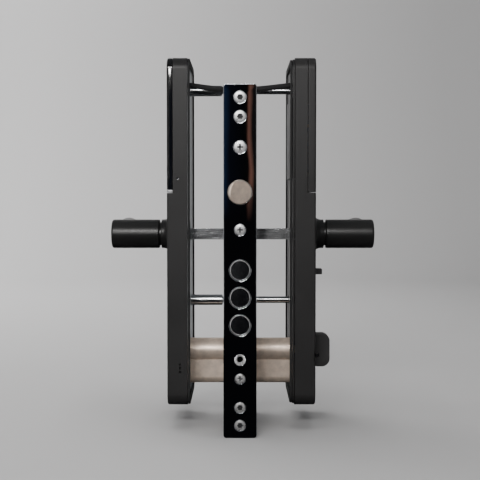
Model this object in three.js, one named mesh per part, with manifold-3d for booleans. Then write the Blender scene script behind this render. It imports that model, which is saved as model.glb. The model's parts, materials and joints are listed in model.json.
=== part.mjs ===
// A keypad smart lock for a hinged door: an outer keypad unit with a lever, a mortise lock with a
// latch and three deadbolts in the door's edge, a key cylinder, and an inner unit with a lever, a
// thumbturn and the batteries. Millimetres, +Z up. X runs through the door from outside (-X) to
// inside (+X), and +Y runs into the door from its edge. The origin is on the front of the
// faceplate, half way through the door, at the height of the lever's axis.

import * as THREE from 'three';
import { mergeVertices } from 'three/addons/utils/BufferGeometryUtils.js';
import Module from 'manifold-3d';

const wasm = await Module();
wasm.setup();

// ---------------------------------------------------------------- driving dimensions

const GAP = 0.3; // clearance left between pieces that touch or run in each other
const FAR = 400; // reaches past everything, for cuts that go right across
const ROUND = 20; // facets round a large circle
const FINE = 10; // facets round a screw, a pin or a small hole

const DOOR = 70; // door thickness, seat to seat
const BACKSET = 60; // from the faceplate to the spindle and key axes
const KEY_DROP = 85; // from the spindle axis down to the key axis

// The latch comes first: its head sets how thick the lock case and how wide the faceplate are.
const latch = { z: 30, radius: 7.75, reach: 12, land: 1.8, length: 36, tilt: 10, hole: 0.45 };
const latchTail = { halfWidth: 3, thick: 4, drop: 7.2, hookThick: 4.8 };
const latchSpring = {
  radius: 2.6, wire: 0.4, pitch: 3.4, length: 24, rise: 1.5, start: 6, pin: 1.5, pinLength: 16, bracket: 20,
};

const caseWall = 1.5;
const lockCase = {
  thick: 2 * (latch.radius + caseWall + 0.75),
  wall: caseWall,
  rear: BACKSET + 32,
  top: 70,
  bottom: -KEY_DROP - 27,
};
const faceplate = {
  width: lockCase.thick + 2.5,
  thick: 3,
  top: lockCase.top + 33,
  bottom: lockCase.bottom - 25,
  corner: 2,
};

const spindle = { side: 8 };
const hub = { radius: 11, boss: 8.5, armRadius: 17, armHalf: 3, armSide: 2.5, latchPlay: 0.8 };

// The three bolts share the room between the follower and the key cylinder.
const deadbolt = { radius: 7, length: BACKSET - 14.6, chamfer: 0.6, hole: 0.5, count: 3 };
const deadboltTop = -hub.radius - deadbolt.radius - 4.6;
const deadboltBottom = -KEY_DROP + deadbolt.radius + 18.2;
const deadboltPitch = (deadboltTop - deadboltBottom) / (deadbolt.count - 1);
const carriage = {
  halfWidth: 6, thick: 6, tie: 5, rise: 2.5, prong: 3, notch: 9, notchFromAxis: 10, prongDrop: 6,
};

const cylinderScrew = { drop: 11.5, radius: 2.5, head: 3.3, depth: 3 };
const cylinderScrewZ = -KEY_DROP - cylinderScrew.drop;
const spareHole = { z: cylinderScrewZ + 12.9, head: 3.75, radius: 2.1 };

// Countersunk screws in the faceplate, from the top: height, head radius, length and recess.
const faceScrews = [
  { z: faceplate.top - 9, head: 3.9, length: 26, recess: 'star' },
  { z: faceplate.top - 22, head: 3.9, length: 26, recess: 'star' },
  { z: lockCase.top - 9.5, head: 4.1, length: 12, recess: 'cross' },
  { z: 4.7, head: 3.6, length: 12, recess: 'cross' },
  { z: faceplate.bottom + 20.8, head: 3.55, length: 26, recess: 'star' },
  { z: faceplate.bottom + 8.6, head: 3.55, length: 26, recess: 'star' },
];
const screwShank = 2;

const panel = { halfWidth: 37.5, top: 124, bottom: -KEY_DROP - 35, corner: 8.5, edge: 1.3 };
const gasketRing = { inset: 0.4, width: 4 };

// The inner unit is as thick as its cells, its tray and its cover need.
const cell = { radius: 7.25, length: 50.5, count: 4, bottom: panel.top - 81.5, cap: 2.6, capHeight: 1 };
const cellPitch = 2 * cell.radius + 0.7;
const cover = { wall: 1.6, bottom: cell.bottom - 12.2 };
const tray = {
  wall: 0.8, floor: 0.7, back: 0.6, bottom: cell.bottom - 2.5, top: cell.bottom + cell.length + 3.2,
};
const outer = { thick: 16, gasket: 1.4, plate: 1.5, wall: 2.2, front: 2.2 };
const inner = {
  thick: tray.back + tray.floor + 2 * cell.radius + cover.wall + 2 * GAP,
  gasket: 1.5,
  plate: 1.3,
  wall: 2.2,
  front: 2.2,
  inset: 1,
};
const innerPlateBack = inner.gasket + GAP;
const innerPlateFace = innerPlateBack + inner.plate;

// The main board clears the through bolt's head, and the shelf under the cover clears the board.
const bolt = { radius: 2.5, head: 4.5, headHeight: 2.6, overlap: 17 };
const boardDepth = innerPlateFace + GAP + bolt.headHeight + 1;
const board = { thick: 1.6, halfWidth: 28, bottom: panel.top - 24.5, top: panel.top - 4.5, room: 1.3 };
const boardSocket = { halfWidth: 4, halfHeight: 3, below: 0.4, above: 0.5 };
const coverSeam = boardDepth + board.thick + board.room + inner.front + GAP;
const trayRim = coverSeam - 0.4;
const housingScrew = {
  y: panel.halfWidth - 4.5,
  z: panel.top - 13,
  length: coverSeam - innerPlateBack - 0.6,
  head: 2.2,
  headHeight: 1.4,
  radius: 1.5,
};

const keypad = { thick: 4, bottom: 31.6, wall: 1.8, trim: 1.7, board: 1.2 };
const ribbonSlot = { z: 60, height: 3, halfWidth: 8 };
const micHole = { z: keypad.bottom + 8, depth: 8.3, radius: 0.75 };
const mic = { halfDepth: 1.1, halfHeight: 1.5, thick: 1.2 };
const speakerHoles = { z: panel.bottom + 27, depth: 7, radius: 0.7, pitch: 2.6, count: 3 };
const speaker = { radius: 4.8, length: 6 };

const lever = { radius: 10.5, journal: 8.5, round: 1.2, dome: 0.6, groove: 1.3 };
const gripRadius = lever.radius - 0.9;
const grip = { radius: gripRadius, reach: 118, bow: 10, inset: gripRadius + 0.8 };
const outerGroove = outer.thick + 6.2;
const outerLever = { groove: outerGroove, end: outerGroove + 36.8 };
const innerGroove = inner.thick + 8;
const innerLever = { groove: innerGroove, end: innerGroove + 37 };
const collar = { foot: lever.radius + 3, flare: 4.5 };
const rose = { radius: lever.radius + 9.5, height: 1.2 };
const springWire = 0.7;
const returnSpring = { radius: lever.journal + springWire + 1, wire: springWire, turns: 2 };
const clutch = { halfWidth: 17, top: 14, bottom: -24, gap: 0.6, bore: spindle.side * 0.75 };

const euro = {
  radius: 8.5,
  neck: 5,
  drop: 19.5,
  outerEnd: DOOR / 2 + outer.thick - 0.6,
  innerEnd: DOOR / 2 + inner.gasket,
};
const cam = { radius: 7.2, arm: 15, halfArm: 2.5, halfWidth: 5, armSide: 4, rest: 45 };
const plug = { radius: 6, keyway: 1.6, keyLow: 3.5, keyHigh: 4.5, keyDepth: 25 };
const turnTail = { side: 5, end: DOOR / 2 + inner.thick + 6 };

const post = { radius: 4, bore: 2.8, flange: 6, flangeThick: 1.6, reach: 22 };
const postUpper = { y: 0, z: panel.top - 20 };
const postLower = { y: 16, z: -50 };
const cable = { y: -18, z: panel.top - 18, radius: 2, sag: 2.5, hole: 3.2 };
const plateScrew = {
  radius: 1.5, head: 2.8, headHeight: 1, boss: 3.2, length: 8, y: panel.halfWidth - 9.5, z: panel.bottom + 12,
};

const thumbStart = inner.thick + 1;
const thumb = {
  start: thumbStart,
  end: thumbStart + 11.7,
  halfHeight: 12.25,
  halfThick: 4.5,
  outerRound: 5.8,
  innerRound: 2.4,
};
const thumbStem = { radius: 6, length: 10 };
const thumbScrew = { x: thumbStart + 2.5, radius: 1.2, sink: 0.6, length: 5.4 };
const scoop = { chord: 14.6, depth: 1.25 };
const slider = { z: -27.5, halfHeight: 2.1, halfWidth: 4, proud: 7, travel: 6, base: 1.6, flange: 4 };
const leverScrew = { radius: 2, length: 3.6, fromGroove: 3 };
const spindleSeat = 4; // how far the inner spindle goes past the lever's groove

// ---------------------------------------------------------------- geometry helpers

const AXIS = {
  x: new THREE.Vector3(1, 0, 0),
  y: new THREE.Vector3(0, 1, 0),
  z: new THREE.Vector3(0, 0, 1),
};

/** Makes a manifold solid from a closed geometry, whichever way its faces wind. */
function solid(geometry) {
  const bare = geometry.index ? geometry.toNonIndexed() : geometry.clone();
  for (const name of Object.keys(bare.attributes)) {
    if (name !== 'position') bare.deleteAttribute(name);
  }
  const merged = mergeVertices(bare, 1e-4);
  const place = merged.attributes.position.array;
  const corners = merged.index.array;
  const kept = [];
  for (let i = 0; i < corners.length; i += 3) {
    const [a, b, c] = corners.slice(i, i + 3);
    if (a !== b && b !== c && c !== a) kept.push(a, b, c);
  }
  if (signedVolume(place, kept) < 0) kept.reverse();
  const mesh = new wasm.Mesh({ numProp: 3, vertProperties: place, triVerts: new Uint32Array(kept) });
  return new wasm.Manifold(mesh);
}

/** Six times the volume inside a triangle list, negative when its faces point inwards. */
function signedVolume(place, corners) {
  const [a, b, c] = [new THREE.Vector3(), new THREE.Vector3(), new THREE.Vector3()];
  let sum = 0;
  for (let i = 0; i < corners.length; i += 3) {
    a.fromArray(place, corners[i] * 3);
    b.fromArray(place, corners[i + 1] * 3);
    c.fromArray(place, corners[i + 2] * 3);
    sum += a.dot(b.cross(c));
  }
  return sum;
}

/** Turns a manifold solid back into a geometry. */
function geometryOf(body) {
  const mesh = body.getMesh();
  const geometry = new THREE.BufferGeometry();
  geometry.setAttribute('position', new THREE.BufferAttribute(mesh.vertProperties, 3));
  geometry.setIndex(new THREE.BufferAttribute(mesh.triVerts, 1));
  geometry.computeVertexNormals();
  return geometry;
}

/** A block between two corners. */
function block(x0, x1, y0, y1, z0, z1) {
  const geometry = new THREE.BoxGeometry(x1 - x0, y1 - y0, z1 - z0);
  geometry.translate((x0 + x1) / 2, (y0 + y1) / 2, (z0 + z1) / 2);
  return solid(geometry);
}

/** Lays a geometry drawn in its own XY plane and height so that its height runs along an axis. */
function lay(geometry, axis) {
  const frames = {
    x: [AXIS.y, AXIS.z, AXIS.x],
    y: [AXIS.z, AXIS.x, AXIS.y],
    z: [AXIS.x, AXIS.y, AXIS.z],
  };
  return geometry.applyMatrix4(new THREE.Matrix4().makeBasis(...frames[axis]));
}

/** Extrudes an outline along an axis. Outlines are drawn in (y, z) for x, (z, x) for y, (x, y) for z. */
function prism(shape, axis, from, to, segments = 4) {
  const options = { depth: to - from, bevelEnabled: false, curveSegments: segments };
  const geometry = new THREE.ExtrudeGeometry(shape, options);
  geometry.translate(0, 0, from);
  return solid(lay(geometry, axis));
}

/** Turns a profile of [radius, height] points about an axis, with the heights along it. */
function turned(profile, axis, segments = ROUND) {
  const points = profile.map(([radius, height]) => new THREE.Vector2(radius, height));
  const geometry = new THREE.LatheGeometry(points, segments);
  geometry.rotateX(Math.PI / 2);
  return solid(lay(geometry, axis));
}

/** A plain round bar along an axis. */
function bar(radius, axis, from, to, segments = ROUND) {
  return turned([[0, from], [radius, from], [radius, to], [0, to]], axis, segments);
}

/** A rectangle with a rounding radius for each corner: [low-low, high-low, high-high, low-high]. */
function roundedOutline(x0, x1, y0, y1, radii) {
  const [a, b, c, d] = radii;
  const shape = new THREE.Shape();
  shape.moveTo(x0 + a, y0);
  shape.lineTo(x1 - b, y0);
  if (b) shape.absarc(x1 - b, y0 + b, b, -Math.PI / 2, 0);
  shape.lineTo(x1, y1 - c);
  if (c) shape.absarc(x1 - c, y1 - c, c, 0, Math.PI / 2);
  shape.lineTo(x0 + d, y1);
  if (d) shape.absarc(x0 + d, y1 - d, d, Math.PI / 2, Math.PI);
  shape.lineTo(x0, y0 + a);
  if (a) shape.absarc(x0 + a, y0 + a, a, Math.PI, 1.5 * Math.PI);
  return shape;
}

/** The outline of a unit's panel, drawn in (y, z), pulled in all round. Square ends have no rounding. */
function panelOutline(inset, bottom = panel.bottom, top = panel.top) {
  const radius = Math.max(panel.corner - inset, 0.4);
  const low = bottom === panel.bottom ? radius : 0;
  const high = top === panel.top ? radius : 0;
  const half = panel.halfWidth - inset;
  return roundedOutline(-half, half, bottom + inset, top - inset, [low, low, high, high]);
}

/** A panel slab with its front edge rounded. The front is at the `to` end, on either side. */
function roundedSlab(shape, from, to) {
  const front = Math.max(Math.abs(from), Math.abs(to));
  const back = Math.min(Math.abs(from), Math.abs(to));
  const options = {
    depth: front - back,
    bevelEnabled: true,
    bevelThickness: panel.edge,
    bevelSize: panel.edge,
    bevelOffset: -panel.edge,
    bevelSegments: 2,
    curveSegments: 4,
  };
  const geometry = new THREE.ExtrudeGeometry(shape, options);
  geometry.translate(0, 0, back - panel.edge);
  const body = solid(lay(geometry, 'x'));
  const side = to < 0 ? -1 : 1;
  const kept = body.intersect(block(back, front, -FAR, FAR, -FAR, FAR));
  return side > 0 ? kept : mirrored(kept);
}

/** A solid reflected in the plane of the seat, so that it stands out towards -X. */
function mirrored(body) {
  return body.mirror([1, 0, 0]);
}

/** A helical spring of round wire along an axis, with open ends. */
function spring(radius, wire, pitch, turns, axis, from) {
  const helix = new THREE.Curve();
  helix.getPoint = (t, target = new THREE.Vector3()) => {
    const angle = 2 * Math.PI * turns * t;
    return target.set(radius * Math.cos(angle), radius * Math.sin(angle), pitch * turns * t + wire);
  };
  const section = new THREE.Shape().absarc(0, 0, wire, 0, 2 * Math.PI);
  const options = { steps: Math.round(turns * 7), curveSegments: 3, extrudePath: helix };
  const geometry = new THREE.ExtrudeGeometry(section, options);
  geometry.translate(0, 0, from);
  return solid(lay(geometry, axis));
}

/** A surface finish: colour, roughness and metalness. */
function finish(color, roughness, metalness) {
  return { color, roughness, metalness };
}

const FINISH = {
  chrome: finish(0xb8bcc2, 0.06, 1),
  nickel: finish(0xa09182, 0.3, 1),
  steel: finish(0x8d9196, 0.35, 1),
  zinc: finish(0x9aa0a3, 0.45, 0.9),
  brass: finish(0xb79a58, 0.3, 1),
  black: finish(0x1d1c1c, 0.5, 0.2),
  gloss: finish(0x050506, 0.05, 0),
  silver: finish(0xb9bbbd, 0.3, 0.8),
  rubber: finish(0x111112, 0.85, 0),
  plastic: finish(0x1b1c1d, 0.6, 0),
  circuit: finish(0x1f5a38, 0.5, 0),
  cell: finish(0x2f6f9c, 0.35, 0.4),
};

/** Adds a named mesh to a group. */
function piece(group, name, body, look) {
  const mesh = new THREE.Mesh(geometryOf(body), new THREE.MeshStandardMaterial(look));
  mesh.name = name;
  group.add(mesh);
}

// ---------------------------------------------------------------- shapes used more than once

/** Moves a solid that was made on its own axis to where it belongs. */
function at(body, x, y, z) {
  return body.translate([x, y, z]);
}

/** A countersunk screw along +Y with its head's face just under y = 0. */
function countersunkScrew(head, shank, length, recess) {
  const face = 0.1;
  const slope = head - shank;
  const tip = shank * 0.8;
  const profile = [
    [0, face],
    [head, face],
    [head, face + 0.3],
    [shank, face + 0.3 + slope],
    [shank, length - tip],
    [0.4, length],
    [0, length],
  ];
  const body = turned(profile, 'y', FINE);
  const deep = head * 0.55;
  if (recess === 'star') return body.subtract(bar(head * 0.42, 'y', -1, deep, 6));
  const long = head * 0.55;
  const thin = head * 0.14;
  const slot = block(-long, long, -1, deep, -thin, thin);
  return body.subtract(slot).subtract(slot.rotate([0, 90, 0]));
}

/** The hole that a countersunk screw leaves in a plate whose face is at y = 0. */
function countersunkHole(head, shank, depth) {
  const wide = head + GAP;
  const narrow = shank + GAP;
  const profile = [
    [0, -1],
    [wide, -1],
    [wide, 0.4],
    [narrow, 0.4 + wide - narrow],
    [narrow, depth],
    [0, depth],
  ];
  return turned(profile, 'y', FINE);
}

/** The key cylinder's outline in (y, z), grown by a clearance, with its axis at the origin. */
function euroOutline(grow) {
  const radius = euro.radius + grow;
  const neck = euro.neck + grow;
  const join = Math.acos(neck / radius);
  const shape = new THREE.Shape();
  shape.absarc(0, 0, radius, -join, Math.PI + join);
  shape.lineTo(-neck, -euro.drop);
  shape.absarc(0, -euro.drop, neck, Math.PI, 2 * Math.PI);
  return shape;
}

/** A square bar along X. */
function squareBar(side, from, to) {
  return block(from, to, -side / 2, side / 2, -side / 2, side / 2);
}

/** One lever: a journal, a neck groove, a thick round boss and a grip that runs along +Y. */
function leverBody(size, side) {
  const { groove, end } = size;
  const boss = groove + lever.groove;
  const profile = [
    [0, size.inner],
    [lever.journal, size.inner],
    [lever.journal, boss],
    [lever.radius - 0.4, boss],
    [lever.radius, boss + 0.4],
    [lever.radius, end - lever.round - lever.dome],
    [lever.radius - lever.round * 0.3, end - lever.round * 0.3 - lever.dome],
    [lever.radius - lever.round, end - lever.dome],
    [lever.radius * 0.5, end - lever.dome * 0.25],
    [0, end],
  ];
  const shaft = turned(profile, 'x');
  const start = end - grip.inset;
  const noseShare = 0.35;
  const noseY = grip.reach - grip.radius * noseShare;
  const path = new THREE.QuadraticBezierCurve3(
    new THREE.Vector3(start, 0, 0),
    new THREE.Vector3(start, grip.reach * 0.45, 0),
    new THREE.Vector3(start + grip.bow, noseY, 0),
  );
  const section = new THREE.Shape().absarc(0, 0, grip.radius, 0, 2 * Math.PI);
  const options = { steps: 5, curveSegments: 9, extrudePath: path };
  const tube = solid(new THREE.ExtrudeGeometry(section, options));
  const nose = new THREE.SphereGeometry(grip.radius, 18, 6);
  nose.rotateX(Math.PI / 2);
  nose.scale(1, noseShare, 1);
  nose.translate(start + grip.bow, noseY, 0);
  const body = shaft.add(tube).add(solid(nose));
  return side < 0 ? mirrored(body) : body;
}

/** The fixed collar round a lever's journal, flared where it meets the panel. */
function collarBody(foot, groove, domed) {
  const bore = lever.journal + GAP;
  const outline = new THREE.Path();
  outline.moveTo(bore, foot);
  if (domed) {
    outline.lineTo(rose.radius, foot);
    outline.quadraticCurveTo(rose.radius - 2, foot + rose.height * 0.8, collar.foot, foot + rose.height);
  } else {
    outline.lineTo(collar.foot, foot);
  }
  const rise = foot + (domed ? rose.height : 0);
  outline.quadraticCurveTo(lever.radius + 0.5, rise + 0.6, lever.radius, rise + collar.flare);
  outline.lineTo(lever.radius, groove - 0.4);
  outline.lineTo(lever.radius - 0.4, groove);
  outline.lineTo(bore, groove);
  const profile = outline.getPoints(3).map((point) => [point.x, point.y]);
  profile.push(profile[0]);
  return turned(profile, 'x');
}

const leverSpringPitch = 2 * returnSpring.wire + 0.35;
const leverSpringLength = returnSpring.turns * leverSpringPitch + 2 * returnSpring.wire;

/** A torsion spring coiled round a lever's journal. */
function leverSpring(from) {
  const { radius, wire, turns } = returnSpring;
  return spring(radius, wire, leverSpringPitch, turns, 'x', from);
}

/** A flat ring of gasket that follows a panel's outline. */
function gasketBody(inset, from, to) {
  const rim = prism(panelOutline(inset), 'x', from, to);
  return rim.subtract(prism(panelOutline(inset + gasketRing.width), 'x', from - 1, to + 1));
}

// ---------------------------------------------------------------- mortise lock

const caseHalf = lockCase.thick / 2;
const caseFront = faceplate.thick + GAP;
const caseInnerLow = -caseHalf + lockCase.wall;
const caseInnerHigh = caseHalf - lockCase.wall;
const deadboltHeights = Array.from({ length: deadbolt.count }, (_, step) => deadboltTop - step * deadboltPitch);

/** Cuts the holes that pass straight through the case's floor and cover. */
function sideHoles(body) {
  const low = -caseHalf - 1;
  const high = caseHalf + 1;
  const hubHole = at(bar(hub.boss + GAP, 'x', low, high), 0, BACKSET, 0);
  const keyHole = at(prism(euroOutline(GAP), 'x', low, high, 10), 0, BACKSET, -KEY_DROP);
  const boltHole = bar(bolt.radius + 2 * GAP, 'x', low, high, FINE);
  const lower = at(boltHole, 0, BACKSET + postLower.y, postLower.z);
  return body.subtract(hubHole).subtract(keyHole).subtract(lower);
}

/** The polished plate in the door's edge, with every hole in it. */
function faceplateBody() {
  const half = faceplate.width / 2;
  const round = faceplate.corner;
  const outline = roundedOutline(
    faceplate.bottom, faceplate.top, -half, half, [round, round, round, round],
  );
  const deep = faceplate.thick + 1;
  let body = prism(outline, 'y', 0, faceplate.thick, 4);
  for (const screw of faceScrews) {
    body = body.subtract(at(countersunkHole(screw.head, screwShank, deep), 0, 0, screw.z));
  }
  const cylinderHole = countersunkHole(cylinderScrew.head, cylinderScrew.radius, deep);
  const spare = countersunkHole(spareHole.head - GAP, spareHole.radius - GAP, deep);
  body = body.subtract(at(cylinderHole, 0, 0, cylinderScrewZ)).subtract(at(spare, 0, 0, spareHole.z));
  body = body.subtract(at(bar(latch.radius + latch.hole, 'y', -1, deep), 0, 0, latch.z));
  for (const z of deadboltHeights) {
    body = body.subtract(at(bar(deadbolt.radius + deadbolt.hole, 'y', -1, deep), 0, 0, z));
  }
  return body;
}

/** The case: floor, four walls and the bracket that guides the latch's tail and spring. */
function caseBody() {
  const top = lockCase.top;
  const bottom = lockCase.bottom;
  const wall = lockCase.wall;
  const rim = caseInnerHigh - GAP;
  const shell = block(-caseHalf, rim, caseFront, lockCase.rear, bottom, top);
  const hollow = block(
    caseInnerLow, caseHalf + 1, caseFront + wall, lockCase.rear - wall, bottom + wall, top - wall,
  );
  const springZ = latch.z + latchSpring.rise;
  const bracketY = latch.length - latch.reach + latchSpring.bracket;
  const bracket = block(
    caseInnerLow - 0.5, rim, bracketY, bracketY + 2, latchTailTop() + GAP, springZ + 6,
  );
  const pin = at(
    bar(latchSpring.pin, 'y', bracketY - latchSpring.pinLength, bracketY + 0.5, 12), 0, 0, springZ,
  );
  let body = sideHoles(shell.subtract(hollow).add(bracket).add(pin));
  const frontHole = (radius, z, facets = FINE) => at(
    bar(radius, 'y', 0, caseFront + wall + 1, facets), 0, 0, z,
  );
  body = body.subtract(frontHole(latch.radius + latch.hole, latch.z, ROUND));
  for (const z of deadboltHeights) {
    body = body.subtract(frontHole(deadbolt.radius + deadbolt.hole, z, ROUND));
  }
  for (const screw of faceScrews.filter(({ z }) => z < top && z > bottom)) {
    body = body.subtract(frontHole(screwShank + GAP, screw.z));
  }
  body = body.subtract(frontHole(cylinderScrew.radius + GAP, cylinderScrewZ));
  return body.subtract(frontHole(spareHole.radius, spareHole.z));
}

function coverPlateBody() {
  const plate = block(
    caseInnerHigh, caseHalf, caseFront, lockCase.rear, lockCase.bottom, lockCase.top,
  );
  return sideHoles(plate);
}

/** Height of the top of the latch's tail bar. */
function latchTailTop() {
  return latch.z - latchTail.drop + latchTail.thick;
}

/** The latch: a round head with one bevel, a bore for its spring, and a tail with a hook. */
function latchBody() {
  const tip = -latch.reach;
  const rear = tip + latch.length;
  const radius = latch.radius;
  const edge = 0.5;
  const head = turned(
    [[0, tip], [radius - edge, tip], [radius, tip + edge], [radius, rear], [0, rear]], 'y',
  );
  const bevel = new THREE.Shape();
  bevel.moveTo(tip - 1, latch.land - radius);
  bevel.lineTo(tip, latch.land - radius);
  bevel.lineTo(0, radius);
  bevel.lineTo(0, radius + 4);
  bevel.lineTo(tip - 1, radius + 4);
  const wedge = lay(new THREE.ExtrudeGeometry(bevel, { depth: 40, bevelEnabled: false }), 'z');
  wedge.applyMatrix4(new THREE.Matrix4().makeBasis(AXIS.y, AXIS.x, AXIS.z.clone().negate()));
  wedge.translate(0, 0, 20);
  wedge.rotateY(THREE.MathUtils.degToRad(latch.tilt));
  const boreRadius = latchSpring.radius + latchSpring.wire + GAP;
  const bore = at(bar(boreRadius, 'y', latchSpring.start, rear + 1, FINE), 0, 0, latchSpring.rise);
  const shaped = at(head.subtract(solid(wedge)).subtract(bore), 0, 0, latch.z);
  const half = latchTail.halfWidth;
  const hookFace = BACKSET + hub.armHalf + hub.latchPlay;
  const hookBack = hookFace + latchTail.hookThick;
  const tailLow = latch.z - latchTail.drop;
  const tail = block(-half, half, rear - 1, hookBack, tailLow, latchTailTop());
  const hook = block(-half, half, hookFace, hookBack, hub.armRadius * Math.SQRT1_2, latchTailTop());
  return shaped.add(tail).add(hook);
}

function latchSpringBody() {
  const turns = latchSpring.length / latchSpring.pitch;
  const from = latchSpring.start + GAP;
  const coil = spring(latchSpring.radius, latchSpring.wire, latchSpring.pitch, turns, 'y', from);
  return at(coil, 0, 0, latch.z + latchSpring.rise);
}

function deadboltBody(z) {
  const { radius, chamfer, length } = deadbolt;
  const profile = [
    [0, GAP],
    [radius - chamfer, GAP],
    [radius, GAP + chamfer],
    [radius, GAP + length],
    [0, GAP + length],
  ];
  return at(turned(profile, 'y'), 0, 0, z);
}

/** The slide behind the bolts, with two prongs that the cylinder's cam drives. */
function carriageBody() {
  const front = 2 * GAP + deadbolt.length;
  const back = front + carriage.thick;
  const bottomBolt = deadboltBottom - deadbolt.radius;
  const camTop = -KEY_DROP + cam.arm;
  const tieLow = camTop + 1;
  const top = deadboltTop + deadbolt.radius + carriage.rise;
  const notchMid = BACKSET + carriage.notchFromAxis;
  const prongBack = notchMid + carriage.notch / 2 + carriage.prong;
  const half = carriage.halfWidth;
  const upright = block(-half, half, front, back, tieLow, top);
  const tieTop = Math.min(tieLow + carriage.tie, bottomBolt + 3);
  const tie = block(-cam.armSide, cam.armSide, back - 1, prongBack, tieLow, tieTop);
  let body = upright.add(tie);
  for (const side of [-1, 1]) {
    const middle = notchMid + side * (carriage.notch + carriage.prong) / 2;
    const halfProng = carriage.prong / 2;
    body = body.add(block(
      -cam.armSide, cam.armSide, middle - halfProng, middle + halfProng,
      tieLow - carriage.prongDrop, tieLow + 1,
    ));
  }
  return body;
}

function hubBody() {
  const wide = caseInnerHigh - GAP;
  const out = caseHalf - GAP / 2;
  const disc = bar(hub.radius, 'x', -wide, wide);
  const boss = bar(hub.boss, 'x', -out, out);
  const arm = block(-hub.armSide, hub.armSide, -hub.armHalf, hub.armHalf, 0, hub.armRadius);
  const socket = squareBar(spindle.side + 2 * GAP, -out - 1, out + 1);
  return at(disc.add(boss).add(arm).subtract(socket), 0, BACKSET, 0);
}

function buildMortise() {
  const group = new THREE.Group();
  piece(group, 'faceplate', faceplateBody(), FINISH.chrome);
  faceScrews.forEach((screw, index) => {
    const body = countersunkScrew(screw.head, screwShank, screw.length, screw.recess);
    piece(group, `faceplate_screw_${index + 1}`, at(body, 0, 0, screw.z), FINISH.steel);
  });
  const reach = BACKSET + cylinderScrew.depth;
  const holding = countersunkScrew(cylinderScrew.head, cylinderScrew.radius, reach, 'cross');
  piece(group, 'cylinder_screw', at(holding, 0, 0, cylinderScrewZ), FINISH.steel);
  piece(group, 'lock_case', caseBody(), FINISH.zinc);
  piece(group, 'case_cover', coverPlateBody(), FINISH.zinc);
  piece(group, 'latch_bolt', latchBody(), FINISH.nickel);
  piece(group, 'latch_spring', latchSpringBody(), FINISH.steel);
  ['top', 'middle', 'bottom'].forEach((name, index) => {
    piece(group, `deadbolt_${name}`, deadboltBody(deadboltHeights[index]), FINISH.chrome);
  });
  piece(group, 'bolt_carriage', carriageBody(), FINISH.zinc);
  piece(group, 'follower_hub', hubBody(), FINISH.zinc);
  return group;
}

// ---------------------------------------------------------------- key cylinder

function buildCylinder() {
  const group = new THREE.Group();
  group.position.set(0, BACKSET, -KEY_DROP);
  const slotHalf = cam.halfWidth + GAP;
  const slotLow = -cam.radius - 0.5;
  const slot = block(-slotHalf, slotHalf, -euro.radius - 1, euro.radius + 1, slotLow, euro.radius + 1);
  const keyBore = bar(plug.radius + GAP, 'x', -euro.outerEnd - 1, 0);
  const turnBore = bar(plug.radius + GAP, 'x', 0, euro.innerEnd + 1);
  const screwEnd = cylinderScrew.depth + GAP;
  const screwHole = bar(cylinderScrew.radius + GAP, 'y', -euro.radius, screwEnd, FINE);
  const body = prism(euroOutline(0), 'x', -euro.outerEnd, euro.innerEnd, 10)
    .subtract(slot)
    .subtract(keyBore)
    .subtract(turnBore)
    .subtract(at(screwHole, 0, 0, -cylinderScrew.drop));
  piece(group, 'cylinder_body', body, FINISH.nickel);

  const arm = block(-cam.armSide, cam.armSide, -cam.halfArm, cam.halfArm, 0, cam.arm);
  const camBody = bar(cam.radius, 'x', -cam.halfWidth, cam.halfWidth).add(arm.rotate([-cam.rest, 0, 0]));
  piece(group, 'cylinder_cam', camBody, FINISH.steel);

  const keyway = block(
    -euro.outerEnd - 1, -euro.outerEnd + plug.keyDepth,
    -plug.keyway / 2, plug.keyway / 2, -plug.keyLow, plug.keyHigh,
  );
  const key = bar(plug.radius, 'x', -euro.outerEnd, -slotHalf).subtract(keyway);
  piece(group, 'key_plug', key, FINISH.brass);

  const round = bar(plug.radius, 'x', slotHalf, euro.innerEnd);
  const tail = squareBar(turnTail.side, euro.innerEnd - 1, turnTail.end);
  piece(group, 'turn_plug', round.add(tail), FINISH.brass);
  return group;
}

// ---------------------------------------------------------------- outer unit

/** A post riveted to the outer plate, tapped from the door's side. */
function postBody(plateFace, plateBack) {
  const flange = plateFace - GAP;
  const profile = [
    [0, flange - post.flangeThick],
    [post.flange, flange - post.flangeThick],
    [post.flange, flange],
    [post.radius, flange],
    [post.radius, post.reach],
    [post.bore, post.reach],
    [post.bore, plateBack],
    [0, plateBack],
  ];
  return turned(profile, 'x', FINE);
}

/** Cuts what passes through a unit's plate: spindle, cylinder, fixings and cable. */
function plateHoles(body, low, high, fixing) {
  const round = (radius, place) => at(bar(radius, 'x', low, high, FINE), 0, place.y, place.z);
  return body
    .subtract(bar(lever.journal + 1.5, 'x', low, high))
    .subtract(at(prism(euroOutline(1), 'x', low, high, 10), 0, 0, -KEY_DROP))
    .subtract(round(fixing, postUpper))
    .subtract(round(fixing, postLower))
    .subtract(round(cable.hole, cable));
}

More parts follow.
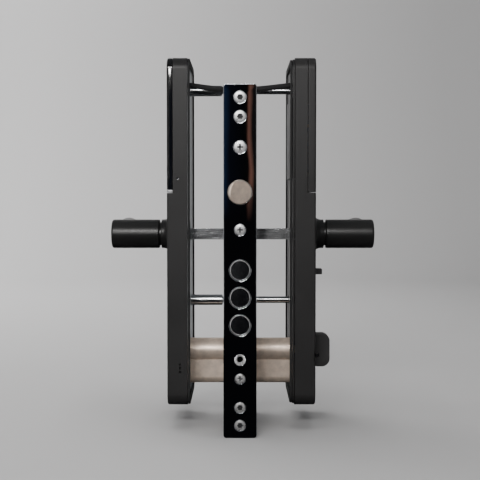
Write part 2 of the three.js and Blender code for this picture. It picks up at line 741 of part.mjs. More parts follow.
function outerHousingBody() {
  const rim = -outer.gasket - GAP;
  const front = -outer.thick;
  const step = front + keypad.thick + GAP;
  const shelf = keypad.bottom - keypad.trim - GAP;
  const back = prism(panelOutline(0), 'x', step, rim);
  const keep = block(front - 1, 0, -FAR, FAR, -FAR, shelf);
  const face = roundedSlab(panelOutline(0), rim, front).intersect(keep);
  const low = prism(panelOutline(outer.wall, panel.bottom, shelf), 'x', front + outer.front, 1);
  const high = prism(panelOutline(outer.wall), 'x', step + outer.front, 1);
  let body = back.add(face).subtract(low).subtract(high);
  const hinge = bar(lever.journal + GAP, 'x', front - 1, 0);
  const key = at(prism(euroOutline(GAP), 'x', front - 1, 0, 10), 0, 0, -KEY_DROP);
  body = body.subtract(hinge).subtract(key);
  const edge = -panel.halfWidth;
  const side = (radius, depth, z) => at(
    bar(radius, 'y', edge - 1, edge + outer.wall + 1, 12), -depth, 0, z,
  );
  body = body.subtract(side(micHole.radius, micHole.depth, micHole.z));
  for (let i = 0; i < speakerHoles.count; i += 1) {
    const z = speakerHoles.z + (i - (speakerHoles.count - 1) / 2) * speakerHoles.pitch;
    body = body.subtract(side(speakerHoles.radius, speakerHoles.depth, z));
  }
  const ribbon = block(
    step - 1, step + outer.front + 1, -ribbonSlot.halfWidth, ribbonSlot.halfWidth,
    ribbonSlot.z, ribbonSlot.z + ribbonSlot.height,
  );
  body = body.subtract(ribbon);
  const bossBack = rim - outer.plate - GAP;
  for (const sign of [-1, 1]) {
    const boss = bar(plateScrew.boss, 'x', front + 1, bossBack, FINE);
    const hole = bar(plateScrew.radius + GAP, 'x', bossBack - plateScrew.length, 1, FINE);
    const place = [0, sign * plateScrew.y, plateScrew.z];
    body = body.add(boss.translate(place)).subtract(hole.translate(place));
  }
  return body;
}

function keypadPanelBody() {
  const front = -outer.thick;
  const back = front + keypad.thick;
  const floor = keypad.bottom + GAP;
  const keep = block(front - 1, 0, -FAR, FAR, floor, FAR);
  const slab = roundedSlab(panelOutline(0), back, front).intersect(keep);
  const room = prism(panelOutline(keypad.wall, floor), 'x', front + keypad.wall, 1);
  return slab.subtract(room);
}

function trimBody() {
  const front = -outer.thick;
  const keep = block(front - 1, 0, -FAR, FAR, keypad.bottom - keypad.trim, keypad.bottom);
  return roundedSlab(panelOutline(0), front + keypad.thick, front).intersect(keep);
}

function outerPlateBody() {
  const face = -outer.gasket - GAP;
  const back = face - outer.plate;
  let body = prism(panelOutline(outer.wall + GAP), 'x', back, face);
  body = plateHoles(body, back - 1, face + 1, post.radius + GAP);
  for (const sign of [-1, 1]) {
    const hole = bar(plateScrew.radius + GAP, 'x', back - 1, face + 1, FINE);
    body = body.subtract(at(hole, 0, sign * plateScrew.y, plateScrew.z));
  }
  return body;
}

function buildOuterUnit() {
  const group = new THREE.Group();
  group.position.set(-DOOR / 2, BACKSET, 0);
  const plateFace = -outer.gasket - GAP;
  const plateBack = plateFace - outer.plate;
  const front = -outer.thick;
  piece(group, 'outer_gasket', gasketBody(gasketRing.inset, -outer.gasket, 0), FINISH.rubber);
  piece(group, 'outer_plate', outerPlateBody(), FINISH.zinc);
  piece(group, 'outer_housing', outerHousingBody(), FINISH.black);
  piece(group, 'keypad_panel', keypadPanelBody(), FINISH.gloss);
  piece(group, 'keypad_trim', trimBody(), FINISH.silver);

  const boardFront = front + keypad.wall + GAP;
  const boardOutline = panelOutline(keypad.wall + GAP, keypad.bottom + GAP);
  const circuit = prism(boardOutline, 'x', boardFront, boardFront + keypad.board);
  piece(group, 'keypad_board', circuit, FINISH.circuit);

  const wallFace = -panel.halfWidth + outer.wall + GAP;
  const horn = bar(speaker.radius, 'y', wallFace, wallFace + speaker.length, 24);
  piece(group, 'speaker', at(horn, front + outer.front + GAP + speaker.radius, 0, speakerHoles.z),
    FINISH.plastic);
  const capsule = block(
    -micHole.depth - mic.halfDepth, -micHole.depth + mic.halfDepth, wallFace, wallFace + mic.thick,
    micHole.z - mic.halfHeight, micHole.z + mic.halfHeight,
  );
  piece(group, 'microphone', capsule, FINISH.steel);

  const coilFrom = front + outer.front + GAP;
  const journalEnd = coilFrom + leverSpringLength;
  const clutchFront = journalEnd + clutch.gap;
  const clutchBody = block(
    clutchFront, plateBack - GAP, -clutch.halfWidth, clutch.halfWidth, clutch.bottom, clutch.top,
  ).subtract(bar(clutch.bore, 'x', clutchFront - 1, 0, FINE));
  piece(group, 'clutch_module', clutchBody, FINISH.plastic);

  const collarOut = collarBody(outer.thick + GAP, outerLever.groove, false);
  piece(group, 'outer_collar', mirrored(collarOut), FINISH.black);
  const leverOut = leverBody({ ...outerLever, inner: -journalEnd }, -1);
  piece(group, 'outer_lever', leverOut, FINISH.black);
  piece(group, 'outer_spring', leverSpring(coilFrom), FINISH.steel);
  piece(group, 'outer_spindle', squareBar(spindle.side, clutchFront + 1, DOOR / 2 - GAP), FINISH.steel);

  const fixing = postBody(plateBack, plateFace);
  piece(group, 'outer_post_upper', at(fixing, 0, postUpper.y, postUpper.z), FINISH.steel);
  piece(group, 'outer_post_lower', at(fixing, 0, postLower.y, postLower.z), FINISH.steel);

  const head = plateFace + GAP;
  const tip = plateBack - plateScrew.length + 1;
  const screw = turned([
    [0, tip],
    [plateScrew.radius, tip],
    [plateScrew.radius, head],
    [plateScrew.head, head],
    [plateScrew.head, head + plateScrew.headHeight],
    [0, head + plateScrew.headHeight],
  ], 'x', FINE);
  [-1, 1].forEach((sign, index) => {
    const body = at(screw, 0, sign * plateScrew.y, plateScrew.z);
    piece(group, `outer_plate_screw_${index + 1}`, body, FINISH.steel);
  });
  piece(group, 'link_cable', cableBody(), FINISH.rubber);
  return group;
}

/** The lead between the two units, in the hole above the lock case, a little slack. */
function cableBody() {
  const from = -outer.gasket - outer.plate - 4;
  const to = DOOR + boardDepth - boardSocket.below - 0.8;
  const path = new THREE.CatmullRomCurve3([
    new THREE.Vector3(from, cable.y, cable.z),
    new THREE.Vector3(0, cable.y, cable.z),
    new THREE.Vector3(DOOR * 0.3, cable.y, cable.z - cable.sag),
    new THREE.Vector3(DOOR * 0.65, cable.y, cable.z - cable.sag),
    new THREE.Vector3(DOOR, cable.y, cable.z),
    new THREE.Vector3(to, cable.y, cable.z),
  ]);
  const section = new THREE.Shape().absarc(0, 0, cable.radius, 0, 2 * Math.PI);
  const options = { steps: 12, curveSegments: 4, extrudePath: path };
  return solid(new THREE.ExtrudeGeometry(section, options));
}

// ---------------------------------------------------------------- inner unit

const innerRim = innerPlateFace + GAP;
const shelfFace = coverSeam - GAP;
const trayHalf = ((cell.count - 1) * cellPitch) / 2 + cell.radius + GAP + tray.wall;

function innerHousingBody() {
  const front = inner.thick;
  const step = cover.bottom - GAP;
  const back = prism(panelOutline(0), 'x', innerRim, shelfFace);
  const keep = block(0, front + 1, -FAR, FAR, -FAR, step);
  const face = roundedSlab(panelOutline(0), innerRim, front).intersect(keep);
  const low = prism(panelOutline(inner.wall, panel.bottom, step), 'x', -1, front - inner.front);
  const high = prism(panelOutline(inner.wall), 'x', -1, shelfFace - inner.front);
  let body = back.add(face).subtract(low).subtract(high);
  body = body.subtract(block(
    0, front, -trayHalf - GAP, trayHalf + GAP, tray.bottom - GAP, tray.top + GAP,
  ));
  body = body.subtract(bar(lever.journal + GAP, 'x', 0, front + 1));
  body = body.subtract(at(bar(thumbStem.radius + GAP, 'x', 0, front + 1), 0, 0, -KEY_DROP));
  const half = scoop.chord / 2;
  const radius = (half * half + scoop.depth * scoop.depth) / (2 * scoop.depth);
  const trough = bar(radius, 'y', -panel.halfWidth - 1, panel.halfWidth + 1, 72);
  body = body.subtract(at(trough, front + radius - scoop.depth, 0, -KEY_DROP));
  const slot = slider.halfHeight + GAP;
  body = body.subtract(block(
    front - inner.front - 1, front + 1, -slider.halfWidth - GAP, slider.halfWidth + slider.travel + GAP,
    slider.z - slot, slider.z + slot,
  ));
  const hole = bar(housingScrew.radius + GAP, 'x', 0, front, FINE);
  return body.subtract(at(hole, 0, housingScrew.y, housingScrew.z));
}

function batteryCoverBody() {
  const front = inner.thick;
  const keep = block(0, front + 1, -FAR, FAR, cover.bottom, FAR);
  const slab = roundedSlab(panelOutline(0), coverSeam, front).intersect(keep);
  const room = prism(panelOutline(cover.wall, cover.bottom), 'x', 0, front - cover.wall);
  return slab.subtract(room);
}

function innerPlateBody() {
  let body = prism(panelOutline(inner.inset), 'x', innerPlateBack, innerPlateFace);
  const window = block(
    0, inner.thick, -trayHalf - GAP, trayHalf + GAP, tray.bottom - GAP, tray.top + GAP,
  );
  body = plateHoles(body, innerPlateBack - 1, innerPlateFace + 1, bolt.radius + GAP);
  const hole = bar(housingScrew.radius + GAP, 'x', 0, inner.thick, FINE);
  return body.subtract(window).subtract(at(hole, 0, housingScrew.y, housingScrew.z));
}

function trayBody() {
  const box = block(tray.back, trayRim, -trayHalf, trayHalf, tray.bottom, tray.top);
  const wall = tray.wall;
  const room = block(
    tray.back + tray.floor, trayRim + 1, -trayHalf + wall, trayHalf - wall,
    tray.bottom + wall, tray.top - wall,
  );
  return box.subtract(room);
}

/** One cell, standing up, with its raised contact at the top. */
function cellBody(index) {
  const top = cell.bottom + cell.length;
  const x = tray.back + tray.floor + GAP + cell.radius;
  const y = (index - (cell.count - 1) / 2) * cellPitch;
  const profile = [
    [0, cell.bottom],
    [cell.radius, cell.bottom],
    [cell.radius, top - cell.capHeight],
    [cell.cap, top - cell.capHeight],
    [cell.cap, top],
    [0, top],
  ];
  return at(turned(profile, 'z', 24), x, y, 0);
}

function boardBody() {
  const plate = block(
    boardDepth, boardDepth + board.thick, -board.halfWidth, board.halfWidth, board.bottom, board.top,
  );
  const socket = block(
    boardDepth - boardSocket.below, boardDepth + boardSocket.above,
    cable.y - boardSocket.halfWidth, cable.y + boardSocket.halfWidth,
    cable.z - boardSocket.halfHeight, cable.z + boardSocket.halfHeight,
  );
  return plate.add(socket);
}

// The set screw crosses the thumbturn just under the square tail, in a groove beside it.
const thumbScrewZ = -turnTail.side / 2 - GAP - thumbScrew.radius;

/** The thumbturn: a flat rounded blade on a stem with a square socket. */
function thumbturnBody() {
  const shape = roundedOutline(
    -thumb.halfHeight, thumb.halfHeight, thumb.start, thumb.end,
    [thumb.innerRound, thumb.innerRound, thumb.outerRound, thumb.outerRound],
  );
  const blade = prism(shape, 'y', -thumb.halfThick, thumb.halfThick);
  const stem = bar(thumbStem.radius, 'x', thumb.start - thumbStem.length, thumb.start + 1);
  const socketEnd = turnTail.end - DOOR / 2 + GAP;
  const socket = squareBar(turnTail.side + 2 * GAP, 0, socketEnd);
  const holeEnd = -thumb.halfThick + thumbScrew.sink + thumbScrew.length + GAP;
  const screwHole = bar(thumbScrew.radius + GAP, 'y', -thumb.halfThick - 1, holeEnd, 12);
  return blade.add(stem).subtract(socket).subtract(at(screwHole, thumbScrew.x, 0, thumbScrewZ));
}

function sliderBody() {
  const face = inner.thick - inner.front - GAP;
  const nub = block(
    face - 1, inner.thick + slider.proud, -slider.halfWidth, slider.halfWidth,
    slider.z - slider.halfHeight, slider.z + slider.halfHeight,
  );
  const wide = slider.halfWidth + slider.flange;
  const high = slider.halfHeight + slider.flange;
  const base = block(face - slider.base, face, -wide, wide, slider.z - high, slider.z + high);
  return nub.add(base);
}

/** A bolt from the inner plate to its post on the outer plate. */
function throughBoltBody() {
  const end = -DOOR + post.reach - bolt.overlap;
  const head = innerPlateFace + GAP;
  return turned([
    [0, end],
    [bolt.radius, end],
    [bolt.radius, head],
    [bolt.head, head],
    [bolt.head, head + bolt.headHeight],
    [0, head + bolt.headHeight],
  ], 'x', FINE);
}

function buildInnerUnit() {
  const group = new THREE.Group();
  group.position.set(DOOR / 2, BACKSET, 0);
  const front = inner.thick;
  const seal = gasketBody(inner.inset + gasketRing.inset, 0, inner.gasket);
  piece(group, 'inner_gasket', seal, FINISH.rubber);
  piece(group, 'inner_plate', innerPlateBody(), FINISH.black);
  piece(group, 'inner_housing', innerHousingBody(), FINISH.black);
  piece(group, 'battery_cover', batteryCoverBody(), FINISH.black);
  piece(group, 'battery_tray', trayBody(), FINISH.plastic);
  for (let index = 0; index < cell.count; index += 1) {
    piece(group, `battery_cell_${index + 1}`, cellBody(index), FINISH.cell);
  }
  piece(group, 'main_board', boardBody(), FINISH.circuit);

  piece(group, 'inner_collar', collarBody(front + GAP, innerLever.groove, true), FINISH.black);
  const coilFrom = front - inner.front - GAP - leverSpringLength;
  const socketEnd = innerLever.groove + spindleSeat;
  const grubX = innerLever.groove + leverScrew.fromGroove;
  const grub = at(bar(leverScrew.radius + GAP, 'z', -lever.radius - 1, 0, FINE), grubX, 0, 0);
  const leverIn = leverBody({ ...innerLever, inner: coilFrom }, 1)
    .subtract(squareBar(spindle.side + 2 * GAP, 0, socketEnd + GAP))
    .subtract(grub);
  piece(group, 'inner_lever', leverIn, FINISH.black);
  const grubFrom = -spindle.side / 2 - 2 * GAP - leverScrew.length;
  const grubScrew = bar(leverScrew.radius, 'z', grubFrom, grubFrom + leverScrew.length, FINE);
  piece(group, 'inner_lever_screw', at(grubScrew, grubX, 0, 0), FINISH.steel);
  piece(group, 'inner_spring', leverSpring(coilFrom), FINISH.steel);
  piece(group, 'inner_spindle', squareBar(spindle.side, -DOOR / 2 + GAP, socketEnd), FINISH.steel);

  piece(group, 'thumbturn', at(thumbturnBody(), 0, 0, -KEY_DROP), FINISH.black);
  const sunk = -thumb.halfThick + thumbScrew.sink;
  const set = bar(thumbScrew.radius, 'y', sunk, sunk + thumbScrew.length, 12);
  piece(group, 'thumbturn_screw', at(set, thumbScrew.x, 0, -KEY_DROP + thumbScrewZ), FINISH.steel);
  piece(group, 'privacy_slider', sliderBody(), FINISH.plastic);

  const rod = throughBoltBody();
  piece(group, 'through_bolt_upper', at(rod, 0, postUpper.y, postUpper.z), FINISH.steel);
  piece(group, 'through_bolt_lower', at(rod, 0, postLower.y, postLower.z), FINISH.steel);
  const seat = shelfFace + GAP;
  const screw = turned([
    [0, seat - housingScrew.length],
    [housingScrew.radius, seat - housingScrew.length],
    [housingScrew.radius, seat],
    [housingScrew.head, seat],
    [housingScrew.head, seat + housingScrew.headHeight],
    [0, seat + housingScrew.headHeight],
  ], 'x', FINE);
  piece(group, 'inner_housing_screw', at(screw, 0, housingScrew.y, housingScrew.z), FINISH.steel);
  return group;
}

// ---------------------------------------------------------------- the whole lock

const lock = new THREE.Group();
lock.add(buildMortise(), buildCylinder(), buildOuterUnit(), buildInnerUnit());

export default lock;
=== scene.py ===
"""Looks of a keypad smart lock: black outer and inner units with levers, and a mirror polished mortise lock.

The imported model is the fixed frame. Each sub-assembly below is a class that builds its visible pieces with
the modelling operators, dresses them in procedural finishes and seats them on the frame's bodies.
Sizes are in millimetres unless a name says otherwise.
"""

import json
import logging
import math
from collections.abc import Callable, Iterable, Sequence
from dataclasses import dataclass, field
from enum import Enum

import bmesh
import bpy
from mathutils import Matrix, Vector

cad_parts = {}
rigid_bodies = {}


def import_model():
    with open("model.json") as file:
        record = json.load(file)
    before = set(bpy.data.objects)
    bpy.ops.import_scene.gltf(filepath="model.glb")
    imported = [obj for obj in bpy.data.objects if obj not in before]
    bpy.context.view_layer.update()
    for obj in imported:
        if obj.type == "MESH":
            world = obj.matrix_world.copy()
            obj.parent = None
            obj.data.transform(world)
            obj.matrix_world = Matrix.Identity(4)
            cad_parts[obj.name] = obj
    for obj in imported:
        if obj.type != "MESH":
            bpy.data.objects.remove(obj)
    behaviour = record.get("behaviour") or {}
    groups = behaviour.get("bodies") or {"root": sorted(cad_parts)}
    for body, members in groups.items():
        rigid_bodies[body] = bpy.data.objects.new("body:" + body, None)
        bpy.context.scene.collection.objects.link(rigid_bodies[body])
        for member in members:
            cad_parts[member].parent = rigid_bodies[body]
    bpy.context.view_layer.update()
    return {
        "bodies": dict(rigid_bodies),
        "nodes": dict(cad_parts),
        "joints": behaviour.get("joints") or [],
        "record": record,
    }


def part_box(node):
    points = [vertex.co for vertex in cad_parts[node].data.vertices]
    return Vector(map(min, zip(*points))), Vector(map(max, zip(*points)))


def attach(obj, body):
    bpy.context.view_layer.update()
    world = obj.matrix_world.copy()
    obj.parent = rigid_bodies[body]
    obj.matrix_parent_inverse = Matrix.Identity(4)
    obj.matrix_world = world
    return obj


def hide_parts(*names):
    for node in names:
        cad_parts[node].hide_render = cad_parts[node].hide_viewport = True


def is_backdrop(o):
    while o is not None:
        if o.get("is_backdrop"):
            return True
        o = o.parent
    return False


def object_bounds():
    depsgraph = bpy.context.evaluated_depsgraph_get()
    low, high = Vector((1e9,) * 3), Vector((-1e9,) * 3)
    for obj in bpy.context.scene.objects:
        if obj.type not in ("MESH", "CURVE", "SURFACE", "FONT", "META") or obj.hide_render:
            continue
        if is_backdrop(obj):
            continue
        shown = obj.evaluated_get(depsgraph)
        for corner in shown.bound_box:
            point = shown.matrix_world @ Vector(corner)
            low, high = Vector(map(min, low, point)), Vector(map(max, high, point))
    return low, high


MM = 0.001
LOG = logging.getLogger("smart_lock")

Point = tuple[float, float, float]
Profile = list[tuple[float, float]]
Piece = bpy.types.Object


class Axis(Enum):
    """The line that a piece is turned about: its own direction and the one that its radius grows along."""

    X = ((1.0, 0.0, 0.0), (0.0, 0.0, 1.0))
    Y = ((0.0, 1.0, 0.0), (0.0, 0.0, 1.0))
    Z = ((0.0, 0.0, 1.0), (1.0, 0.0, 0.0))


class Recess(Enum):
    """The drive cut into a screw's head, as the number of bars that cross in it."""

    CROSS = 2
    STAR = 3


def metres(point: Sequence[float]) -> Vector:
    """Turns a point in millimetres into metres."""
    return Vector(point) * MM


def arc(centre: tuple[float, float], radius: float, start: float, end: float, steps: int) -> Profile:
    """Points of an arc in a turned profile.

    Args:
        centre: The arc's centre as (radius, height).
        radius: The arc's own radius.
        start: First angle in degrees, measured from the radius direction towards the height.
        end: Last angle in degrees.
        steps: Number of segments.

    Returns:
        The points from start to end, both included.
    """
    angles = [math.radians(start + (end - start) * i / steps) for i in range(steps + 1)]
    return [(centre[0] + radius * math.cos(a), centre[1] + radius * math.sin(a)) for a in angles]


def curve_between(
    a: tuple[float, float], b: tuple[float, float], c: tuple[float, float], steps: int
) -> Profile:
    """Points of a quadratic curve from a to c that leaves a towards b.

    Args:
        a: First point as (radius, height).
        b: The point that pulls the curve.
        c: Last point.
        steps: Number of segments.

    Returns:
        The points from a to c, both included.
    """
    made = []
    for i in range(steps + 1):
        t = i / steps
        u = 1 - t
        made.append(tuple(u * u * p + 2 * u * t * q + t * t * r for p, q, r in zip(a, b, c)))
    return made


# ---------------------------------------------------------------- modelling


class Bench:
    """The modelling operators that every piece shares. Each works on one piece with the rest deselected."""

    def clear(self) -> None:
        """Deselects every object."""
        for found in list(bpy.context.selected_objects):
            found.select_set(False)

    def hold(self, piece: Piece) -> None:
        """Makes a piece the only selected and active object."""
        self.clear()
        piece.select_set(True)
        bpy.context.view_layer.objects.active = piece

    def _named(self, name: str) -> Piece:
        """Names the object that an operator has just added."""
        piece = bpy.context.active_object
        piece.name = name
        piece.data.name = name
        return piece

    def block(self, name: str, low: Sequence[float], high: Sequence[float]) -> Piece:
        """Adds a block between two corners, with its place in its mesh.

        Args:
            name: The new object's name.
            low: Lowest corner.
            high: Highest corner.

        Returns:
            The block.
        """
        self.clear()
        centre = (metres(low) + metres(high)) / 2
        bpy.ops.mesh.primitive_cube_add(size=1.0, location=centre)
        piece = self._named(name)
        piece.scale = metres(high) - metres(low)
        self.settle(piece)
        return piece

    def settle(self, piece: Piece) -> None:
        """Moves an object's place, turn and size into its mesh."""
        self.hold(piece)
        bpy.ops.object.transform_apply(location=True, rotation=True, scale=True)

    def turned(
        self, name: str, profile: Iterable[tuple[float, float]], origin: Sequence[float], axis: Axis,
        steps: int = 64,
    ) -> Piece:
        """Turns a profile once round an axis by extruding one vertex along it and spinning the line.

        Args:
            name: The new object's name.
            profile: Points as (radius, height along the axis).
            origin: A point on the axis, where the height is nought.
            axis: The axis to turn about.
            steps: Segments round the axis.

        Returns:
            The closed, merged piece.
        """
        along, out = Vector(axis.value[0]), Vector(axis.value[1])
        base = metres(origin)
        line = [base + out * (r * MM) + along * (h * MM) for r, h in profile]
        self.clear()
        bpy.ops.mesh.primitive_plane_add(size=0.001, location=line[0])
        piece = self._named(name)
        self.settle(piece)
        bpy.ops.object.mode_set(mode="EDIT")
        bpy.ops.mesh.select_mode(type="VERT")
        bpy.ops.mesh.select_all(action="SELECT")
        bpy.ops.mesh.merge(type="CENTER")
        for start, end in zip(line, line[1:]):
            bpy.ops.mesh.extrude_vertices_move(TRANSFORM_OT_translate={"value": end - start})
        bpy.ops.mesh.select_all(action="SELECT")
        bpy.ops.mesh.spin(steps=steps, angle=2 * math.pi, center=base, axis=along)
        self._close()
        return piece

    def weld(self, piece: Piece) -> None:
        """Merges a piece's doubles and turns its faces outwards."""
        self.hold(piece)
        bpy.ops.object.mode_set(mode="EDIT")
        bpy.ops.mesh.select_all(action="SELECT")
        self._close()

    def _close(self) -> None:
        """Merges doubles, turns the faces outwards and leaves edit mode."""
        bpy.ops.mesh.select_all(action="SELECT")
        bpy.ops.mesh.remove_doubles(threshold=2e-6)
        bpy.ops.mesh.normals_make_consistent(inside=False)
        bpy.ops.object.mode_set(mode="OBJECT")

    def pick(
        self,
        piece: Piece,
        vertex: Callable[[Vector], bool] | None = None,
        edge: Callable[[Vector, Vector], bool] | None = None,
        face: Callable[[Vector, Vector], bool] | None = None,
    ) -> int:
        """Enters edit mode with only the wanted vertices, edges or faces selected.

        Args:
            piece: The piece to edit.
            vertex: Test of a vertex by its place.
            edge: Test of an edge by its two ends.
            face: Test of a face by its middle and its normal.

        Returns:
            How many were found.
        """
        self.hold(piece)
        bpy.ops.object.mode_set(mode="EDIT")
        kind = "VERT" if vertex else "EDGE" if edge else "FACE"
        bpy.ops.mesh.select_mode(type=kind)
        bpy.ops.mesh.select_all(action="DESELECT")
        shape = bmesh.from_edit_mesh(piece.data)
        found = 0
        if vertex:
            wanted = [v for v in shape.verts if vertex(v.co / MM)]
        elif edge:
            wanted = [e for e in shape.edges if edge(e.verts[0].co / MM, e.verts[1].co / MM)]
        else:
            wanted = [f for f in shape.faces if face(f.calc_center_median() / MM, f.normal)]
        for element in wanted:
            element.select_set(True)
            found += 1
        shape.select_flush_mode()
        bmesh.update_edit_mesh(piece.data)
        return found

    def done(self) -> None:
        """Leaves edit mode."""
        bpy.ops.object.mode_set(mode="OBJECT")

    def round_edges(
        self, piece: Piece, edge: Callable[[Vector, Vector], bool], radius: float, segments: int
    ) -> None:
        """Rounds the edges that pass a test.

        Args:
            piece: The piece to shape.
            edge: Test of an edge by its two ends.
            radius: Radius of the rounding.
            segments: Segments across it.
        """
        self.pick(piece, edge=edge)
        bpy.ops.mesh.bevel(
            offset=radius * MM, segments=segments, profile=0.5, affect="EDGES", clamp_overlap=False
        )
        self.done()

    def slice(self, piece: Piece, point: Sequence[float], normal: Sequence[float]) -> None:
        """Cuts away what lies on the normal's side of a plane and closes the cut.

        Args:
            piece: The piece to cut.
            point: A point on the plane.
            normal: Direction of the side that goes.
        """
        self.hold(piece)
        bpy.ops.object.mode_set(mode="EDIT")
        bpy.ops.mesh.select_all(action="SELECT")
        bpy.ops.mesh.bisect(
            plane_co=metres(point), plane_no=normal, use_fill=True, clear_outer=True, threshold=1e-7
        )
        self._close()

    def hollow(self, piece: Piece, back: float, wall: float, depth: float) -> None:
        """Sinks a room into the flat back of a piece that faces along X.

        Args:
            piece: The piece to hollow.
            back: Where its back lies on X.
            wall: Width of the rim left round the room.
            depth: Where the room's floor lies on X.
        """
        self.pick(piece, face=lambda c, n: abs(c.x - back) < 0.01 and abs(n.x) > 0.99)
        bpy.ops.mesh.inset(thickness=wall * MM, depth=0.0, use_even_offset=True)
        bpy.ops.mesh.extrude_region_move(TRANSFORM_OT_translate={"value": ((depth - back) * MM, 0.0, 0.0)})
        self._close()

    def _apply(self, piece: Piece, kind: str, **settings: object) -> None:
        """Adds one modifier with its settings and applies it."""
        self.hold(piece)
        bpy.ops.object.modifier_add(type=kind)
        modifier = piece.modifiers[-1]
        for key, value in settings.items():
            setattr(modifier, key, value)
        bpy.ops.object.modifier_apply(modifier=modifier.name)

    def cut(self, piece: Piece, *cutters: Piece) -> None:
        """Takes each cutter's shape out of a piece and throws the cutter away."""
        self._join_shapes(piece, "DIFFERENCE", cutters)

    def unite(self, piece: Piece, *others: Piece) -> None:
        """Adds each other shape to a piece as one solid and throws the other away."""
        self._join_shapes(piece, "UNION", others)

    def _join_shapes(self, piece: Piece, how: str, tools: Sequence[Piece]) -> None:
        """Runs one boolean for each tool and welds the cuts."""
        for tool in tools:
            self._apply(piece, "BOOLEAN", operation=how, solver="EXACT", object=tool)
            bpy.data.objects.remove(tool)
        self.weld(piece)

    def merge(self, piece: Piece, *others: Piece) -> None:
        """Puts other meshes into a piece's mesh, as separate shells."""
        self.hold(piece)
        for other in others:
            other.select_set(True)
        bpy.ops.object.join()

    def soften(self, piece: Piece, width: float, segments: int = 2, angle: float = 35.0) -> None:
        """Rounds every sharp edge a little.

        Args:
            piece: The piece to soften.
            width: Width of the rounding.
            segments: Segments across it.
            angle: Edges sharper than this many degrees are rounded.
        """
        self._apply(
            piece, "BEVEL", width=width * MM, segments=segments, limit_method="ANGLE",
            angle_limit=math.radians(angle), miter_outer="MITER_ARC", use_clamp_overlap=True,
        )

    def remesh(self, piece: Piece, voxel: float, passes: int) -> None:
        """Casts a piece again as one skin and blends its inner corners.

        Args:
            piece: The piece to cast.
            voxel: Size of its new faces.
            passes: How often the skin is smoothed.
        """
        self._apply(piece, "REMESH", mode="VOXEL", voxel_size=voxel * MM, adaptivity=0.0)
        self._apply(piece, "SMOOTH", factor=0.5, iterations=passes)

    def shade(self, piece: Piece, angle: float = 35.0, flat_faces: bool = False) -> None:
        """Shades a piece smooth up to an angle.

        Args:
            piece: The piece to shade.
            angle: Edges sharper than this many degrees stay sharp.
            flat_faces: Keeps large flat faces flat beside their rounded edges.
        """
        self.hold(piece)
        bpy.ops.object.shade_smooth_by_angle(angle=math.radians(angle))
        if flat_faces:
            self._apply(piece, "WEIGHTED_NORMAL", keep_sharp=True, weight=100)

    def slab(
        self, name: str, low: Sequence[float], high: Sequence[float], corner: float, edge: float, front: float
    ) -> Piece:
        """A panel with rounded corners, seen along X, and a rounded rim on its front.

        Args:
            name: The new object's name.
            low: Lowest corner.
            high: Highest corner.
            corner: Radius of its four corners.
            edge: Radius of the front's rim, or nought for a sharp one.
            front: Where its front lies on X.

        Returns:
            The solid slab.
        """
        piece = self.block(name, low, high)
        self.round_edges(piece, lambda a, b: abs(a.x - b.x) > 0.01, corner, 14)
        if edge:
            self.round_edges(piece, lambda a, b: abs(a.x - front) < 0.01 and abs(b.x - front) < 0.01, edge, 5)
        return piece

    def copy(self, piece: Piece, name: str, shift: Sequence[float]) -> Piece:
        """Copies a piece with its own mesh and moves the copy.

        Args:
            piece: The piece to copy.
            name: The copy's name.
            shift: How far the copy moves.

        Returns:
            The copy.
        """
        self.hold(piece)
        bpy.ops.object.duplicate(linked=False)
        twin = self._named(name)
        twin.location = metres(shift)
        self.settle(twin)
        return twin


# ---------------------------------------------------------------- finishes


